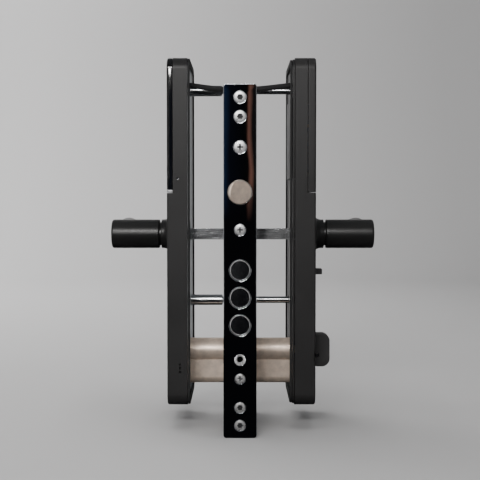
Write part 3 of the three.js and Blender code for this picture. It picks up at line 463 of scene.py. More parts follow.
class Desk:
    """One material's node tree, with short calls for the nodes that finishes use."""

    def __init__(self, name: str) -> None:
        """Opens an empty tree with a shader and an output."""
        self.material = bpy.data.materials.new(name)
        self.material.use_nodes = True
        self.tree = self.material.node_tree
        self.tree.nodes.clear()
        self.shader = self.add("ShaderNodeBsdfPrincipled")
        output = self.add("ShaderNodeOutputMaterial")
        self.link(self.shader.outputs["BSDF"], output.inputs["Surface"])
        self.place = self.add("ShaderNodeTexCoord").outputs["Object"]

    def add(self, kind: str, **settings: object) -> bpy.types.Node:
        """Adds a node and sets its properties."""
        node = self.tree.nodes.new(kind)
        for key, value in settings.items():
            setattr(node, key, value)
        return node

    def link(self, source: bpy.types.NodeSocket, target: bpy.types.NodeSocket) -> None:
        """Joins two sockets."""
        self.tree.links.new(source, target)

    def put(self, **values: object) -> None:
        """Sets constants on the shader's own sockets, named with underscores for spaces."""
        for key, value in values.items():
            self.shader.inputs[key.replace("_", " ")].default_value = value

    def stretched(self, scale: Point) -> bpy.types.NodeSocket:
        """Object coordinates scaled unevenly, for grain that runs one way."""
        node = self.add("ShaderNodeMapping")
        node.inputs["Scale"].default_value = scale
        self.link(self.place, node.inputs["Vector"])
        return node.outputs["Vector"]

    def noise(
        self, scale: float, detail: float = 3.0, rough: float = 0.5, place: bpy.types.NodeSocket | None = None
    ) -> bpy.types.NodeSocket:
        """A noise pattern.

        Args:
            scale: Spots to the metre.
            detail: Octaves of finer spots.
            rough: Strength of the finer spots.
            place: The coordinates it reads, or None for the object's own.

        Returns:
            Its value, round a half.
        """
        node = self.add("ShaderNodeTexNoise")
        node.inputs["Scale"].default_value = scale
        node.inputs["Detail"].default_value = detail
        node.inputs["Roughness"].default_value = rough
        self.link(place or self.place, node.inputs["Vector"])
        return node.outputs["Fac"]

    def spread(
        self, value: bpy.types.NodeSocket, low: float, high: float, start: float = 0.3, end: float = 0.7
    ) -> bpy.types.NodeSocket:
        """Maps start..end of a value onto low..high, held at both ends."""
        node = self.add("ShaderNodeMapRange")
        node.inputs["From Min"].default_value = start
        node.inputs["From Max"].default_value = end
        node.inputs["To Min"].default_value = low
        node.inputs["To Max"].default_value = high
        self.link(value, node.inputs["Value"])
        return node.outputs["Result"]

    def tint(
        self, value: bpy.types.NodeSocket, stops: Sequence[tuple[float, Sequence[float]]], hard: bool = False
    ) -> bpy.types.NodeSocket:
        """Colours a value by stops of (place, colour)."""
        node = self.add("ShaderNodeValToRGB")
        ramp = node.color_ramp
        ramp.interpolation = "CONSTANT" if hard else "LINEAR"
        while len(ramp.elements) < len(stops):
            ramp.elements.new(1.0)
        for element, (place, colour) in zip(ramp.elements, stops):
            element.position = place
            element.color = (*colour[:3], 1.0)
        self.link(value, node.inputs["Fac"])
        return node.outputs["Color"]

    def bump(
        self, heights: Sequence[tuple[bpy.types.NodeSocket, float]], strength: float, edge: float = 0.0
    ) -> None:
        """Raises the surface by patterns, one after another.

        Args:
            heights: Pairs of a pattern and its height in micrometres.
            strength: Strength of every pattern.
            edge: Radius in millimetres that the shading rounds sharp edges by.
        """
        before = None
        if edge:
            rounding = self.add("ShaderNodeBevel", samples=4)
            rounding.inputs["Radius"].default_value = edge * MM
            before = rounding.outputs["Normal"]
        for value, height in heights:
            node = self.add("ShaderNodeBump")
            node.inputs["Strength"].default_value = strength
            node.inputs["Distance"].default_value = height * 1e-6
            self.link(value, node.inputs["Height"])
            if before:
                self.link(before, node.inputs["Normal"])
            before = node.outputs["Normal"]
        self.link(before, self.shader.inputs["Normal"])


def scaled(colour: Sequence[float], share: float) -> Point:
    """A colour made lighter or darker."""
    return tuple(min(1.0, c * share) for c in colour[:3])


@dataclass(frozen=True)
class Finish:
    """A surface finish. Each kind below paints its own pattern.

    Attributes:
        name: The material's name.
        slot: The record's material slot that it stands for.
        colour: Its main colour.
        roughness: Its middle roughness.
    """

    name: str
    slot: str
    colour: Point
    roughness: float

    def paint(self, desk: Desk, edge: float) -> None:
        """Lays the pattern out on a desk.

        Args:
            desk: The material's node tree.
            edge: Radius in millimetres that sharp edges are shaded round by.
        """
        raise NotImplementedError

    def material(self, edge: float = 0.0) -> bpy.types.Material:
        """The finish's material, made once for each edge radius."""
        name = f"{self.name}_eased" if edge else self.name
        found = bpy.data.materials.get(name)
        if found:
            return found
        desk = Desk(name)
        self.paint(desk, edge)
        return desk.material


@dataclass(frozen=True)
class PowderCoat(Finish):
    """Fine matte powder coat: a close pebble grain with slow changes of sheen."""

    grain: float = 2400.0
    sheen: float = 0.42

    def paint(self, desk: Desk, edge: float) -> None:
        """Lays out grain, sheen and a faint change of black."""
        fine = desk.noise(self.grain, 4.0, 0.6)
        slow = desk.noise(22.0, 2.0)
        shades = [(0.3, scaled(self.colour, 0.86)), (0.7, scaled(self.colour, 1.14))]
        desk.link(desk.tint(slow, shades), desk.shader.inputs["Base Color"])
        sheen = desk.spread(slow, self.roughness - 0.03, self.roughness + 0.05)
        desk.link(sheen, desk.shader.inputs["Roughness"])
        desk.put(Metallic=0.0, Specular_IOR_Level=self.sheen)
        desk.bump([(fine, 26.0), (desk.noise(420.0, 2.0), 8.0)], 0.5, edge)


@dataclass(frozen=True)
class MirrorMetal(Finish):
    """Polished plating: a mirror with faint wipe marks and a slight roll of the polished face."""

    haze: float = 0.05

    def paint(self, desk: Desk, edge: float) -> None:
        """Lays out wipe marks in the gloss and the roll of the surface."""
        wipes = desk.noise(1.0, 3.0, 0.6, desk.stretched((90.0, 90.0, 14.0)))
        smudge = desk.noise(28.0, 4.0, 0.65)
        gloss = desk.add("ShaderNodeMath", operation="MULTIPLY")
        desk.link(wipes, gloss.inputs[0])
        desk.link(smudge, gloss.inputs[1])
        desk.link(
            desk.spread(gloss.outputs[0], self.roughness, self.roughness + self.haze, 0.22, 0.5),
            desk.shader.inputs["Roughness"],
        )
        shades = [(0.25, scaled(self.colour, 0.94)), (0.75, self.colour)]
        desk.link(desk.tint(smudge, shades), desk.shader.inputs["Base Color"])
        desk.put(Metallic=1.0)
        desk.bump([(desk.noise(55.0, 1.0), 14.0)], 0.25, edge)


@dataclass(frozen=True)
class BrushedMetal(Finish):
    """Plated metal with a fine grain that runs one way, and small dull spots."""

    stretch: Point = (900.0, 60.0, 900.0)
    wear: float = 0.12
    depth: float = 3.0
    metal: float = 1.0

    def paint(self, desk: Desk, edge: float) -> None:
        """Lays out the grain, the spots and a small change of tint."""
        grain = desk.noise(1.0, 4.0, 0.6, desk.stretched(self.stretch))
        spots = desk.noise(160.0, 3.0, 0.6)
        desk.link(
            desk.spread(grain, self.roughness - 0.08, self.roughness + self.wear),
            desk.shader.inputs["Roughness"],
        )
        shades = [(0.3, scaled(self.colour, 0.82)), (0.7, scaled(self.colour, 1.1))]
        desk.link(desk.tint(spots, shades), desk.shader.inputs["Base Color"])
        desk.put(Metallic=self.metal)
        desk.bump([(grain, self.depth), (spots, self.depth)], 0.35, edge)


@dataclass(frozen=True)
class PlatedSheet(Finish):
    """Zinc plated sheet: a soft spangle of crystal patches with a cool cast."""

    spangle: float = 260.0

    def paint(self, desk: Desk, edge: float) -> None:
        """Lays out the patches, their gloss and the sheet's slight waviness."""
        patches = desk.add("ShaderNodeTexVoronoi")
        patches.inputs["Scale"].default_value = self.spangle
        desk.link(desk.place, patches.inputs["Vector"])
        grey = desk.add("ShaderNodeRGBToBW")
        desk.link(patches.outputs["Color"], grey.inputs["Color"])
        shades = [(0.1, scaled(self.colour, 0.78)), (0.9, scaled(self.colour, 1.12))]
        desk.link(desk.tint(grey.outputs["Val"], shades), desk.shader.inputs["Base Color"])
        desk.link(
            desk.spread(grey.outputs["Val"], self.roughness - 0.08, self.roughness + 0.1, 0.0, 1.0),
            desk.shader.inputs["Roughness"],
        )
        desk.put(Metallic=0.9)
        desk.bump([(desk.noise(900.0, 3.0), 5.0), (desk.noise(40.0, 1.0), 30.0)], 0.3, edge)


@dataclass(frozen=True)
class GlossPanel(Finish):
    """Hard coated gloss acrylic: deep black with finger haze and hairlines."""

    def paint(self, desk: Desk, edge: float) -> None:
        """Lays out haze and hairlines in the gloss."""
        haze = desk.noise(34.0, 4.0, 0.6)
        hairs = desk.noise(1.0, 2.0, 0.5, desk.stretched((300.0, 1400.0, 40.0)))
        marks = desk.add("ShaderNodeMath", operation="MULTIPLY")
        desk.link(haze, marks.inputs[0])
        desk.link(hairs, marks.inputs[1])
        desk.link(
            desk.spread(marks.outputs[0], self.roughness, self.roughness + 0.1, 0.25, 0.5),
            desk.shader.inputs["Roughness"],
        )
        shades = [(0.3, scaled(self.colour, 0.8)), (0.7, scaled(self.colour, 1.3))]
        desk.link(desk.tint(haze, shades), desk.shader.inputs["Base Color"])
        desk.put(Metallic=0.0, Coat_Weight=0.6, Coat_Roughness=0.03)
        desk.bump([(desk.noise(26.0, 1.0), 20.0)], 0.15, edge)


@dataclass(frozen=True)
class Moulded(Finish):
    """Moulded plastic or rubber with a spark-eroded texture."""

    cell: float = 1500.0
    depth: float = 14.0

    def paint(self, desk: Desk, edge: float) -> None:
        """Lays out the texture and its uneven sheen."""
        texture = desk.noise(self.cell, 3.0, 0.55)
        patches = desk.noise(60.0, 3.0)
        shades = [(0.3, scaled(self.colour, 0.8)), (0.7, scaled(self.colour, 1.25))]
        desk.link(desk.tint(patches, shades), desk.shader.inputs["Base Color"])
        desk.link(
            desk.spread(patches, self.roughness - 0.06, self.roughness + 0.06), desk.shader.inputs["Roughness"]
        )
        desk.put(Metallic=0.0)
        desk.bump([(texture, self.depth)], 0.5, edge)


@dataclass(frozen=True)
class CircuitMask(Finish):
    """A solder-masked board: straight tracks under the mask and plated pads."""

    copper: Point = (0.62, 0.48, 0.22)

    def paint(self, desk: Desk, edge: float) -> None:
        """Lays out tracks and pads on the board's two long directions."""
        tracks = desk.add("ShaderNodeTexBrick")
        tracks.inputs["Scale"].default_value = 1.0
        tracks.inputs["Mortar Size"].default_value = 0.0005
        tracks.inputs["Brick Width"].default_value = 0.011
        tracks.inputs["Row Height"].default_value = 0.0027
        tracks.inputs["Color1"].default_value = (*scaled(self.colour, 0.75), 1.0)
        tracks.inputs["Color2"].default_value = (*self.colour, 1.0)
        tracks.inputs["Mortar"].default_value = (*scaled(self.colour, 1.9), 1.0)
        turn = desk.add("ShaderNodeMapping")
        turn.inputs["Rotation"].default_value = (0.0, math.radians(90.0), math.radians(90.0))
        desk.link(desk.place, turn.inputs["Vector"])
        desk.link(turn.outputs["Vector"], tracks.inputs["Vector"])
        pads = desk.add("ShaderNodeTexVoronoi")
        pads.inputs["Scale"].default_value = 240.0
        desk.link(desk.place, pads.inputs["Vector"])
        plated = desk.spread(pads.outputs["Distance"], 1.0, 0.0, 0.16, 0.18)
        mix = desk.add("ShaderNodeMix", data_type="RGBA")
        desk.link(plated, mix.inputs["Factor"])
        desk.link(tracks.outputs["Color"], mix.inputs["A"])
        mix.inputs["B"].default_value = (*self.copper, 1.0)
        desk.link(mix.outputs["Result"], desk.shader.inputs["Base Color"])
        desk.link(plated, desk.shader.inputs["Metallic"])
        desk.put(Roughness=self.roughness)
        desk.bump([(tracks.outputs["Fac"], 20.0)], 0.4, edge)


@dataclass(frozen=True)
class CellSleeve(Finish):
    """A printed battery sleeve with plain bands and a bare metal top.

    Attributes:
        base: Height in metres of the cell's foot.
        height: Its length in metres.
    """

    base: float = 0.0425
    height: float = 0.0505

    def paint(self, desk: Desk, edge: float) -> None:
        """Lays out the bands up the cell and the sleeve's gloss."""
        split = desk.add("ShaderNodeSeparateXYZ")
        desk.link(desk.place, split.inputs["Vector"])
        rise = desk.spread(split.outputs["Z"], 0.0, 1.0, self.base, self.base + self.height)
        metal = (0.62, 0.62, 0.6)
        bands = [(0.0, metal), (0.03, self.colour), (0.66, (0.7, 0.5, 0.2))]
        bands += [(0.7, scaled(self.colour, 0.4)), (0.97, metal)]
        desk.link(desk.tint(rise, bands, hard=True), desk.shader.inputs["Base Color"])
        desk.link(
            desk.spread(desk.noise(300.0), self.roughness - 0.06, self.roughness + 0.06),
            desk.shader.inputs["Roughness"],
        )
        desk.put(Metallic=0.35)
        desk.bump([(desk.noise(90.0, 1.0), 20.0)], 0.2, edge)


@dataclass(frozen=True)
class Finishes:
    """Every finish on the lock, by what it is on."""

    chrome: Finish = MirrorMetal("mirror_chrome", "polished_chrome", (0.6, 0.62, 0.65), 0.015, 0.02)
    bolt_end: Finish = MirrorMetal("bolt_chrome", "polished_chrome", (0.56, 0.58, 0.61), 0.12)
    nickel: Finish = BrushedMetal(
        "warm_nickel", "satin_nickel", (0.86, 0.71, 0.59), 0.46, (60.0, 900.0, 900.0), depth=1.0, metal=0.6,
    )
    steel: Finish = BrushedMetal(
        "bright_steel", "steel", (0.62, 0.63, 0.64), 0.24, (90.0, 700.0, 700.0), 0.06, 0.4,
    )
    screw: Finish = BrushedMetal(
        "screw_steel", "steel", (0.72, 0.72, 0.72), 0.3, (300.0, 300.0, 300.0), depth=0.8, metal=0.75,
    )
    # Painted shade: a near-black finish on the drive recess faces stands in for the shade inside each screw's
    # recess.
    recess_shade: Finish = Moulded("painted_recess_shade", "steel", (0.02, 0.02, 0.022), 0.6, 2500.0, 2.0)
    ring: Finish = BrushedMetal(
        "machined_ring", "polished_chrome", (0.98, 0.98, 0.99), 0.2, depth=0.6, metal=0.75,
    )
    zinc: Finish = PlatedSheet("zinc_sheet", "zinc", (0.55, 0.58, 0.6), 0.4)
    brass: Finish = BrushedMetal("machined_brass", "brass", (0.72, 0.56, 0.28), 0.28, (40.0, 900.0, 900.0))
    black: Finish = PowderCoat("black_powder", "black_metal", (0.0185, 0.0179, 0.0182), 0.44, sheen=0.33)
    lever: Finish = PowderCoat("lever_powder", "black_metal", (0.012, 0.0117, 0.0118), 0.33, 3000.0)
    turn: Finish = PowderCoat("turn_powder", "black_metal", (0.03, 0.029, 0.0295), 0.5)
    panel: Finish = GlossPanel("gloss_panel", "black_gloss", (0.004, 0.004, 0.0045), 0.04)
    trim: Finish = BrushedMetal("satin_trim", "silver_trim", (0.55, 0.56, 0.57), 0.3, (900.0, 60.0, 900.0))
    ink: Finish = Moulded("key_ink", "silver_trim", (0.32, 0.33, 0.34), 0.5, 2000.0, 3.0)
    rubber: Finish = Moulded("seal_rubber", "rubber", (0.012, 0.012, 0.0125), 0.82, 1200.0, 20.0)
    plastic: Finish = Moulded("moulded_plastic", "plastic", (0.021, 0.021, 0.022), 0.55)
    circuit: Finish = CircuitMask("board_mask", "circuit", (0.012, 0.1, 0.04), 0.35)
    cell: Finish = CellSleeve("cell_sleeve", "cell", (0.03, 0.16, 0.3), 0.3)

    def by_slot(self) -> dict[str, Finish]:
        """The finish that a CAD node of each record slot is given."""
        return {
            "polished_chrome": self.chrome, "satin_nickel": self.nickel, "steel": self.steel, "zinc": self.zinc,
            "brass": self.brass, "black_metal": self.black, "black_gloss": self.panel, "silver_trim": self.trim,
            "rubber": self.rubber, "plastic": self.plastic, "circuit": self.circuit, "cell": self.cell,
        }


# ---------------------------------------------------------------- shared shapes and seating


@dataclass
class Workshop:
    """What every sub-assembly is built with: the bench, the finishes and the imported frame."""

    frame: dict
    bench: Bench = field(default_factory=Bench)
    finishes: Finishes = field(default_factory=Finishes)

    def seat(self, piece: Piece, finish: Finish, body: str, *nodes: str, edge: float = 0.0) -> Piece:
        """Dresses a finished piece and seats it on a body in place of its nodes.

        Args:
            piece: The finished piece.
            finish: Its finish.
            body: The body that it moves with.
            nodes: The frame's nodes that it stands for.
            edge: Radius in millimetres that its sharp edges are shaded round by.

        Returns:
            The piece.
        """
        piece.data.materials.clear()
        piece.data.materials.append(finish.material(edge))
        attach(piece, body)
        if nodes:
            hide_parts(*nodes)
        LOG.info("%-26s %6d faces on %s", piece.name, len(piece.data.polygons), body)
        return piece

    def add_finish(self, piece: Piece, finish: Finish, face: Callable[[Vector, Vector], bool]) -> None:
        """Gives the faces that pass a test a second finish.

        Args:
            piece: The dressed piece.
            finish: The second finish.
            face: Test of a face by its middle and its normal.
        """
        piece.data.materials.append(finish.material())
        self.bench.pick(piece, face=face)
        piece.active_material_index = len(piece.data.materials) - 1
        bpy.ops.object.material_slot_assign()
        self.bench.done()

    def repeat(self, piece: Piece, nodes: Sequence[str], ending: str = "") -> list[tuple[str, Piece]]:
        """Copies a bare piece made for the first of some like nodes to the places of the others.

        Args:
            piece: The piece, at the first node's place and not yet seated.
            nodes: The like nodes.
            ending: What a copy's name has after its node's name.

        Returns:
            Each node with its own piece.
        """
        first, *others = nodes
        pairs = [(first, piece)]
        for node in others:
            pairs.append((node, self.bench.copy(piece, f"{node}{ending}", middle(node) - middle(first))))
        return pairs

    def dress_frame(self) -> None:
        """Gives each of the frame's own nodes the finish of its slot, with its edges shaded round."""
        finishes = self.finishes.by_slot()
        for row in self.frame["record"]["subparts"]:
            node = self.frame["nodes"][row["node"]]
            node.data.materials.clear()
            node.data.materials.append(finishes[row["material_slot"]].material(edge=0.22))


def span(node: str) -> tuple[Vector, Vector]:
    """A frame node's lowest and highest corner in millimetres."""
    low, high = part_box(node)
    return low / MM, high / MM


def middle(node: str) -> Vector:
    """The middle of a frame node's box in millimetres."""
    low, high = span(node)
    return (low + high) / 2


# ---------------------------------------------------------------- faceplate and its screws


@dataclass
class Screw:
    """Countersunk screws of one size along +Y, with a thread and a drive recess."""

    nodes: tuple[str, ...]
    head: float
    shank: float
    length: float
    recess: Recess
    pitch: float = 1.25
    bare: float = 1.5
    face: float = 0.1

    def build(self, shop: Workshop) -> None:
        """Turns one screw at its first node's height, cuts its recess and copies it to the others."""
        bench = shop.bench
        place = (0.0, 0.0, middle(self.nodes[0]).z)
        neck = self.face + 0.3 + self.head - self.shank
        profile = [(0.0, self.face), (self.head * 0.5, self.face + 0.02), (self.head * 0.78, self.face + 0.1)]
        profile += [(self.head - 0.06, self.face + 0.26), (self.head, self.face + 0.34), (self.shank, neck)]
        start = neck + self.bare
        turns = int((self.length - 2.4 - start) / self.pitch)
        for i in range(turns):
            foot = start + i * self.pitch
            profile += [(self.shank - 0.5, foot), (self.shank - 0.02, foot + self.pitch * 0.45)]
        profile += [(self.shank - 0.5, start + turns * self.pitch)]
        profile += [(0.35, self.length - 0.1), (0.0, self.length)]
        piece = bench.turned(self.nodes[0], profile, place, Axis.Y, 40)
        deep = self.head * 0.5
        long, thin = self.head * 0.52, self.head * (0.13 if self.recess is Recess.CROSS else 0.19)
        for i in range(self.recess.value):
            bar = bench.block("recess", (-long, -1.0, -thin), (long, deep, thin))
            bar.rotation_euler = (0.0, math.pi * i / self.recess.value, 0.0)
            bar.location = metres(place)
            bench.settle(bar)
            bench.cut(piece, bar)
        bench.shade(piece, 30.0)
        for node, screw in shop.repeat(piece, self.nodes):
            shop.seat(screw, shop.finishes.screw, "lock", node, edge=0.12)
            centre = Vector((0.0, 0.0, middle(node).z))
            # The recess faces get the near-black finish: painted shade inside the drive recess.
            shop.add_finish(
                screw, shop.finishes.recess_shade,
                lambda c, n: self.face + 0.25 < c.y < deep + 0.05 and (c - centre).xz.length < long * 1.1,
            )


@dataclass
class Faceplate:
    """The mirror polished plate in the door's edge, with its holes and screws."""

    corner: float = 2.0
    edge: float = 0.45
    gap: float = 0.3
    flare: float = 0.35
    spare_below: float = 12.9
    spare: tuple[float, float] = (3.75, 2.1)
    latch_hole: float = 8.1
    bolt_hole: float = 7.4
    screws: tuple[Screw, ...] = (
        Screw(("faceplate_screw_1", "faceplate_screw_2"), 3.9, 2.0, 26.0, Recess.STAR),
        Screw(("faceplate_screw_3",), 4.1, 2.0, 12.0, Recess.CROSS),
        Screw(("faceplate_screw_4",), 3.6, 2.0, 12.0, Recess.CROSS),
        Screw(("faceplate_screw_5", "faceplate_screw_6"), 3.55, 2.0, 26.0, Recess.STAR),
        Screw(("cylinder_screw",), 3.3, 2.5, 63.0, Recess.CROSS, bare=34.0),
    )

    def sunk_hole(self, bench: Bench, head: float, shank: float, z: float, deep: float) -> Piece:
        """The cutter for one countersunk hole.

        Args:
            bench: The bench.
            head: Radius at the plate's face.
            shank: Radius of the straight part.
            z: Its height on the plate.
            deep: Where it ends behind the plate.

        Returns:
            The cutter.
        """
        mouth = head + self.flare
        profile = [(0.0, -1.0), (mouth, -1.0), (mouth, 0.0)]
        profile += arc((mouth, self.flare), self.flare, -90.0, -180.0, 3)
        profile += [(shank, 0.4 + head - shank), (shank, deep), (0.0, deep)]
        return bench.turned("sunk_hole", profile, (0.0, 0.0, z), Axis.Y, 64)

    def bolt_opening(self, bench: Bench, radius: float, z: float, deep: float) -> Piece:
        """The cutter for a bolt's round hole with a rounded mouth.

        Args:
            bench: The bench.
            radius: The hole's radius.
            z: Its height on the plate.
            deep: Where it ends behind the plate.

        Returns:
            The cutter.
        """
        mouth = radius + self.flare
        profile = [(0.0, -1.0), (mouth, -1.0), *arc((mouth, self.flare), self.flare, -90.0, -180.0, 4)]
        return bench.turned("bolt_hole", [*profile, (radius, deep), (0.0, deep)], (0.0, 0.0, z), Axis.Y, 96)

    def build(self, shop: Workshop) -> None:
        """Shapes the plate, cuts its holes and makes its screws."""
        bench = shop.bench
        low, high = span("faceplate")
        deep = high.y + 1.0
        plate = bench.block("faceplate_polished", low, high)
        bench.round_edges(plate, lambda a, b: abs(a.y - b.y) > 0.01, self.corner, 10)
        bench.round_edges(plate, lambda a, b: a.y < 0.01 and b.y < 0.01, self.edge, 4)
        for screw in self.screws:
            for node in screw.nodes:
                head, shank = screw.head + self.gap, screw.shank + self.gap
                bench.cut(plate, self.sunk_hole(bench, head, shank, middle(node).z, deep))
        spare_z = middle("cylinder_screw").z + self.spare_below
        bench.cut(plate, self.sunk_hole(bench, *self.spare, spare_z, deep))
        rounds = {"latch_bolt": (self.latch_hole, 30.0)}
        for name in ("deadbolt_top", "deadbolt_middle", "deadbolt_bottom"):
            rounds[name] = (self.bolt_hole, middle(name).z)
        for radius, z in rounds.values():
            bench.cut(plate, self.bolt_opening(bench, radius, z, deep))
        bench.shade(plate, 30.0, flat_faces=True)
        shop.seat(plate, shop.finishes.chrome, "lock", "faceplate")
        shop.add_finish(
            plate, shop.finishes.ring,
            lambda c, n: c.y > self.edge and 0.3 < abs(n.y) < 0.95 and abs(c.z - spare_z) < self.spare[0],
        )
        for screw in self.screws:
            screw.build(shop)


# ---------------------------------------------------------------- latch and deadbolts


@dataclass
class Bolts:
    """The sprung latch with its tail, and the three round deadbolts."""

    latch_z: float = 30.0
    latch_radius: float = 7.75
    reach: float = 12.0
    length: float = 36.0
    blunt: float = 0.06
    land: float = 1.8
    tilt: float = 10.0
    tail_half: float = 3.0
    tail_low: float = 22.8
    tail_top: float = 26.8
    hook_low: float = 12.02
    hook: tuple[float, float] = (63.8, 68.6)
    bolt_radius: float = 7.0
    chamfer: tuple[float, float] = (0.65, 0.32)
    bolts: tuple[str, ...] = ("deadbolt_top", "deadbolt_middle", "deadbolt_bottom")

    def latch(self, shop: Workshop) -> None:
        """Turns the latch's head, cuts its bevel and adds the tail and hook."""
        bench = shop.bench
        tip, rear, radius = self.blunt - self.reach, self.length - self.reach, self.latch_radius
        profile = [(0.0, tip), (radius - 0.9, tip), *arc((radius - 0.9, tip + 0.9), 0.9, -90.0, 0.0, 5)[1:]]
        profile += [(radius, rear - 0.4), (radius - 0.4, rear), (3.3, rear), (3.3, 6.0), (0.0, 6.0)]
        head = bench.turned("latch_bolt_head", profile, (0.0, 0.0, self.latch_z), Axis.Y, 96)
        turn = math.radians(self.tilt)
        run = (radius + radius - self.land, self.reach)
        long = math.hypot(*run)
        flat = (run[1] / long, -run[0] / long)
        normal = (flat[0] * math.cos(turn), flat[1], -flat[0] * math.sin(turn))
        point = (radius * math.cos(turn), 0.0, self.latch_z - radius * math.sin(turn))
        bench.slice(head, point, normal)
        side, across = Vector(normal), Vector(point)
        bench.round_edges(
            head,
            lambda a, b: abs((a - across).dot(side)) < 0.02 and abs((b - across).dot(side)) < 0.02,
            0.35, 3,
        )
        half = self.tail_half
        tail = bench.block("tail", (-half, rear - 1.0, self.tail_low), (half, self.hook[1], self.tail_top))
        hook = bench.block("hook", (-half, self.hook[0], self.hook_low), (half, self.hook[1], self.tail_top))
        bench.unite(tail, hook)
        bench.soften(tail, 0.4)
        bench.merge(head, tail)
        bench.shade(head, 30.0, flat_faces=True)
        shop.seat(head, shop.finishes.nickel, "latch", "latch_bolt")

    def deadbolts(self, shop: Workshop) -> None:
        """Turns one deadbolt with its bright chamfer and copies it to the others."""
        low, high = span(self.bolts[0])
        radius, (cut, rise) = self.bolt_radius, self.chamfer
        profile = [(0.0, low.y), (radius - cut, low.y), (radius - 0.12, low.y + rise)]
        profile += [(radius, low.y + rise + 0.15), (radius, high.y - 0.4)]
        profile += [(radius - 0.4, high.y), (0.0, high.y)]
        place = (0.0, 0.0, middle(self.bolts[0]).z)
        piece = shop.bench.turned(f"{self.bolts[0]}_polished", profile, place, Axis.Y, 96)
        shop.bench.shade(piece, 20.0)
        for node, bolt in shop.repeat(piece, self.bolts, "_polished"):
            shop.seat(bolt, shop.finishes.bolt_end, "bolts", node)
            shop.add_finish(bolt, shop.finishes.ring, lambda c, n: c.y < low.y + rise and abs(n.y) < 0.99)

    def build(self, shop: Workshop) -> None:
        """Makes the latch and the three deadbolts."""
        self.latch(shop)
        self.deadbolts(shop)


# ---------------------------------------------------------------- lock case and key cylinder


@dataclass
class EuroProfile:
    """The key cylinder's section: a round barrel over a narrow neck."""

    radius: float = 8.5
    neck: float = 5.0
    drop: float = 19.5
    y: float = 60.0
    z: float = -85.0

    def bar(self, bench: Bench, name: str, start: float, end: float, grow: float = 0.0) -> Piece:
        """A bar of the section along X.

        Args:
            bench: The bench.
            name: The bar's name.
            start: Where it starts on X.
            end: Where it ends on X.
            grow: Clearance added all round.

        Returns:
            The bar.
        """
        wide, thin = self.radius + grow, self.neck + grow
        place = (0.0, self.y, self.z)
        barrel = [(0.0, start), (wide, start), (wide, end), (0.0, end)]
        piece = bench.turned(name, barrel, place, Axis.X, 72)
        neck = bench.block(
            "neck", (start, self.y - thin, self.z - self.drop), (end, self.y + thin, self.z - thin * 0.5)
        )
        foot = [(0.0, start), (thin, start), (thin, end), (0.0, end)]
        toe = bench.turned("toe", foot, (0.0, self.y, self.z - self.drop), Axis.X, 48)
        bench.unite(piece, neck, toe)
        return piece


@dataclass
class LockCase:
    """The folded steel case and its cover plate."""

    wall: float = 1.5
    hub_hole: float = 8.8
    fixing: tuple[float, float] = (76.0, -50.0)
    fixing_hole: float = 3.1
    section: EuroProfile = field(default_factory=EuroProfile)

    def side_holes(self, bench: Bench, piece: Piece, low: float, high: float) -> None:
        """Cuts what passes through the case from side to side.

        Args:
            bench: The bench.
            piece: The piece to cut.
            low: Where the cutters start on X.
            high: Where they end.
        """
        for radius, y, z in ((self.hub_hole, 60.0, 0.0), (self.fixing_hole, *self.fixing)):
            hole = [(0.0, low), (radius, low), (radius, high), (0.0, high)]
            bench.cut(piece, bench.turned("side_hole", hole, (0.0, y, z), Axis.X, 64))
        bench.cut(piece, self.section.bar(bench, "key_hole", low, high, 0.3))

    def build(self, shop: Workshop) -> None:
        """Makes the case as a folded tray with front holes, and its cover."""
        bench = shop.bench
        low, high = span("lock_case")
        case = bench.block("lock_case_folded", low, high)
        bench.round_edges(case, lambda a, b: abs(a.x - low.x) < 0.01 and abs(b.x - low.x) < 0.01, 1.0, 4)
        bench.hollow(case, high.x, self.wall, low.x + self.wall)
        self.side_holes(bench, case, low.x - 1.0, low.x + 4.0)
        fronts = [(8.0, 30.0), (2.1, -83.6), (2.8, -96.5), (2.3, 60.5), (2.3, 4.7)]
        fronts += [(7.5, middle(f"deadbolt_{name}").z) for name in ("top", "middle", "bottom")]
        for radius, z in fronts:
            hole = [(0.0, 0.0), (radius, 0.0), (radius, 6.0), (0.0, 6.0)]
            bench.cut(case, bench.turned("front_hole", hole, (0.0, 0.0, z), Axis.Y, 48))
        bench.shade(case, 30.0, flat_faces=True)
        shop.seat(case, shop.finishes.zinc, "lock", "lock_case", edge=0.3)
        low, high = span("case_cover")
        plate = bench.block("case_cover_plate", low, high)
        bench.round_edges(plate, lambda a, b: abs(a.x - b.x) > 0.01, 1.2, 5)
        self.side_holes(bench, plate, low.x - 1.0, high.x + 1.0)
        bench.shade(plate, 30.0, flat_faces=True)
        shop.seat(plate, shop.finishes.zinc, "lock", "case_cover", edge=0.3)


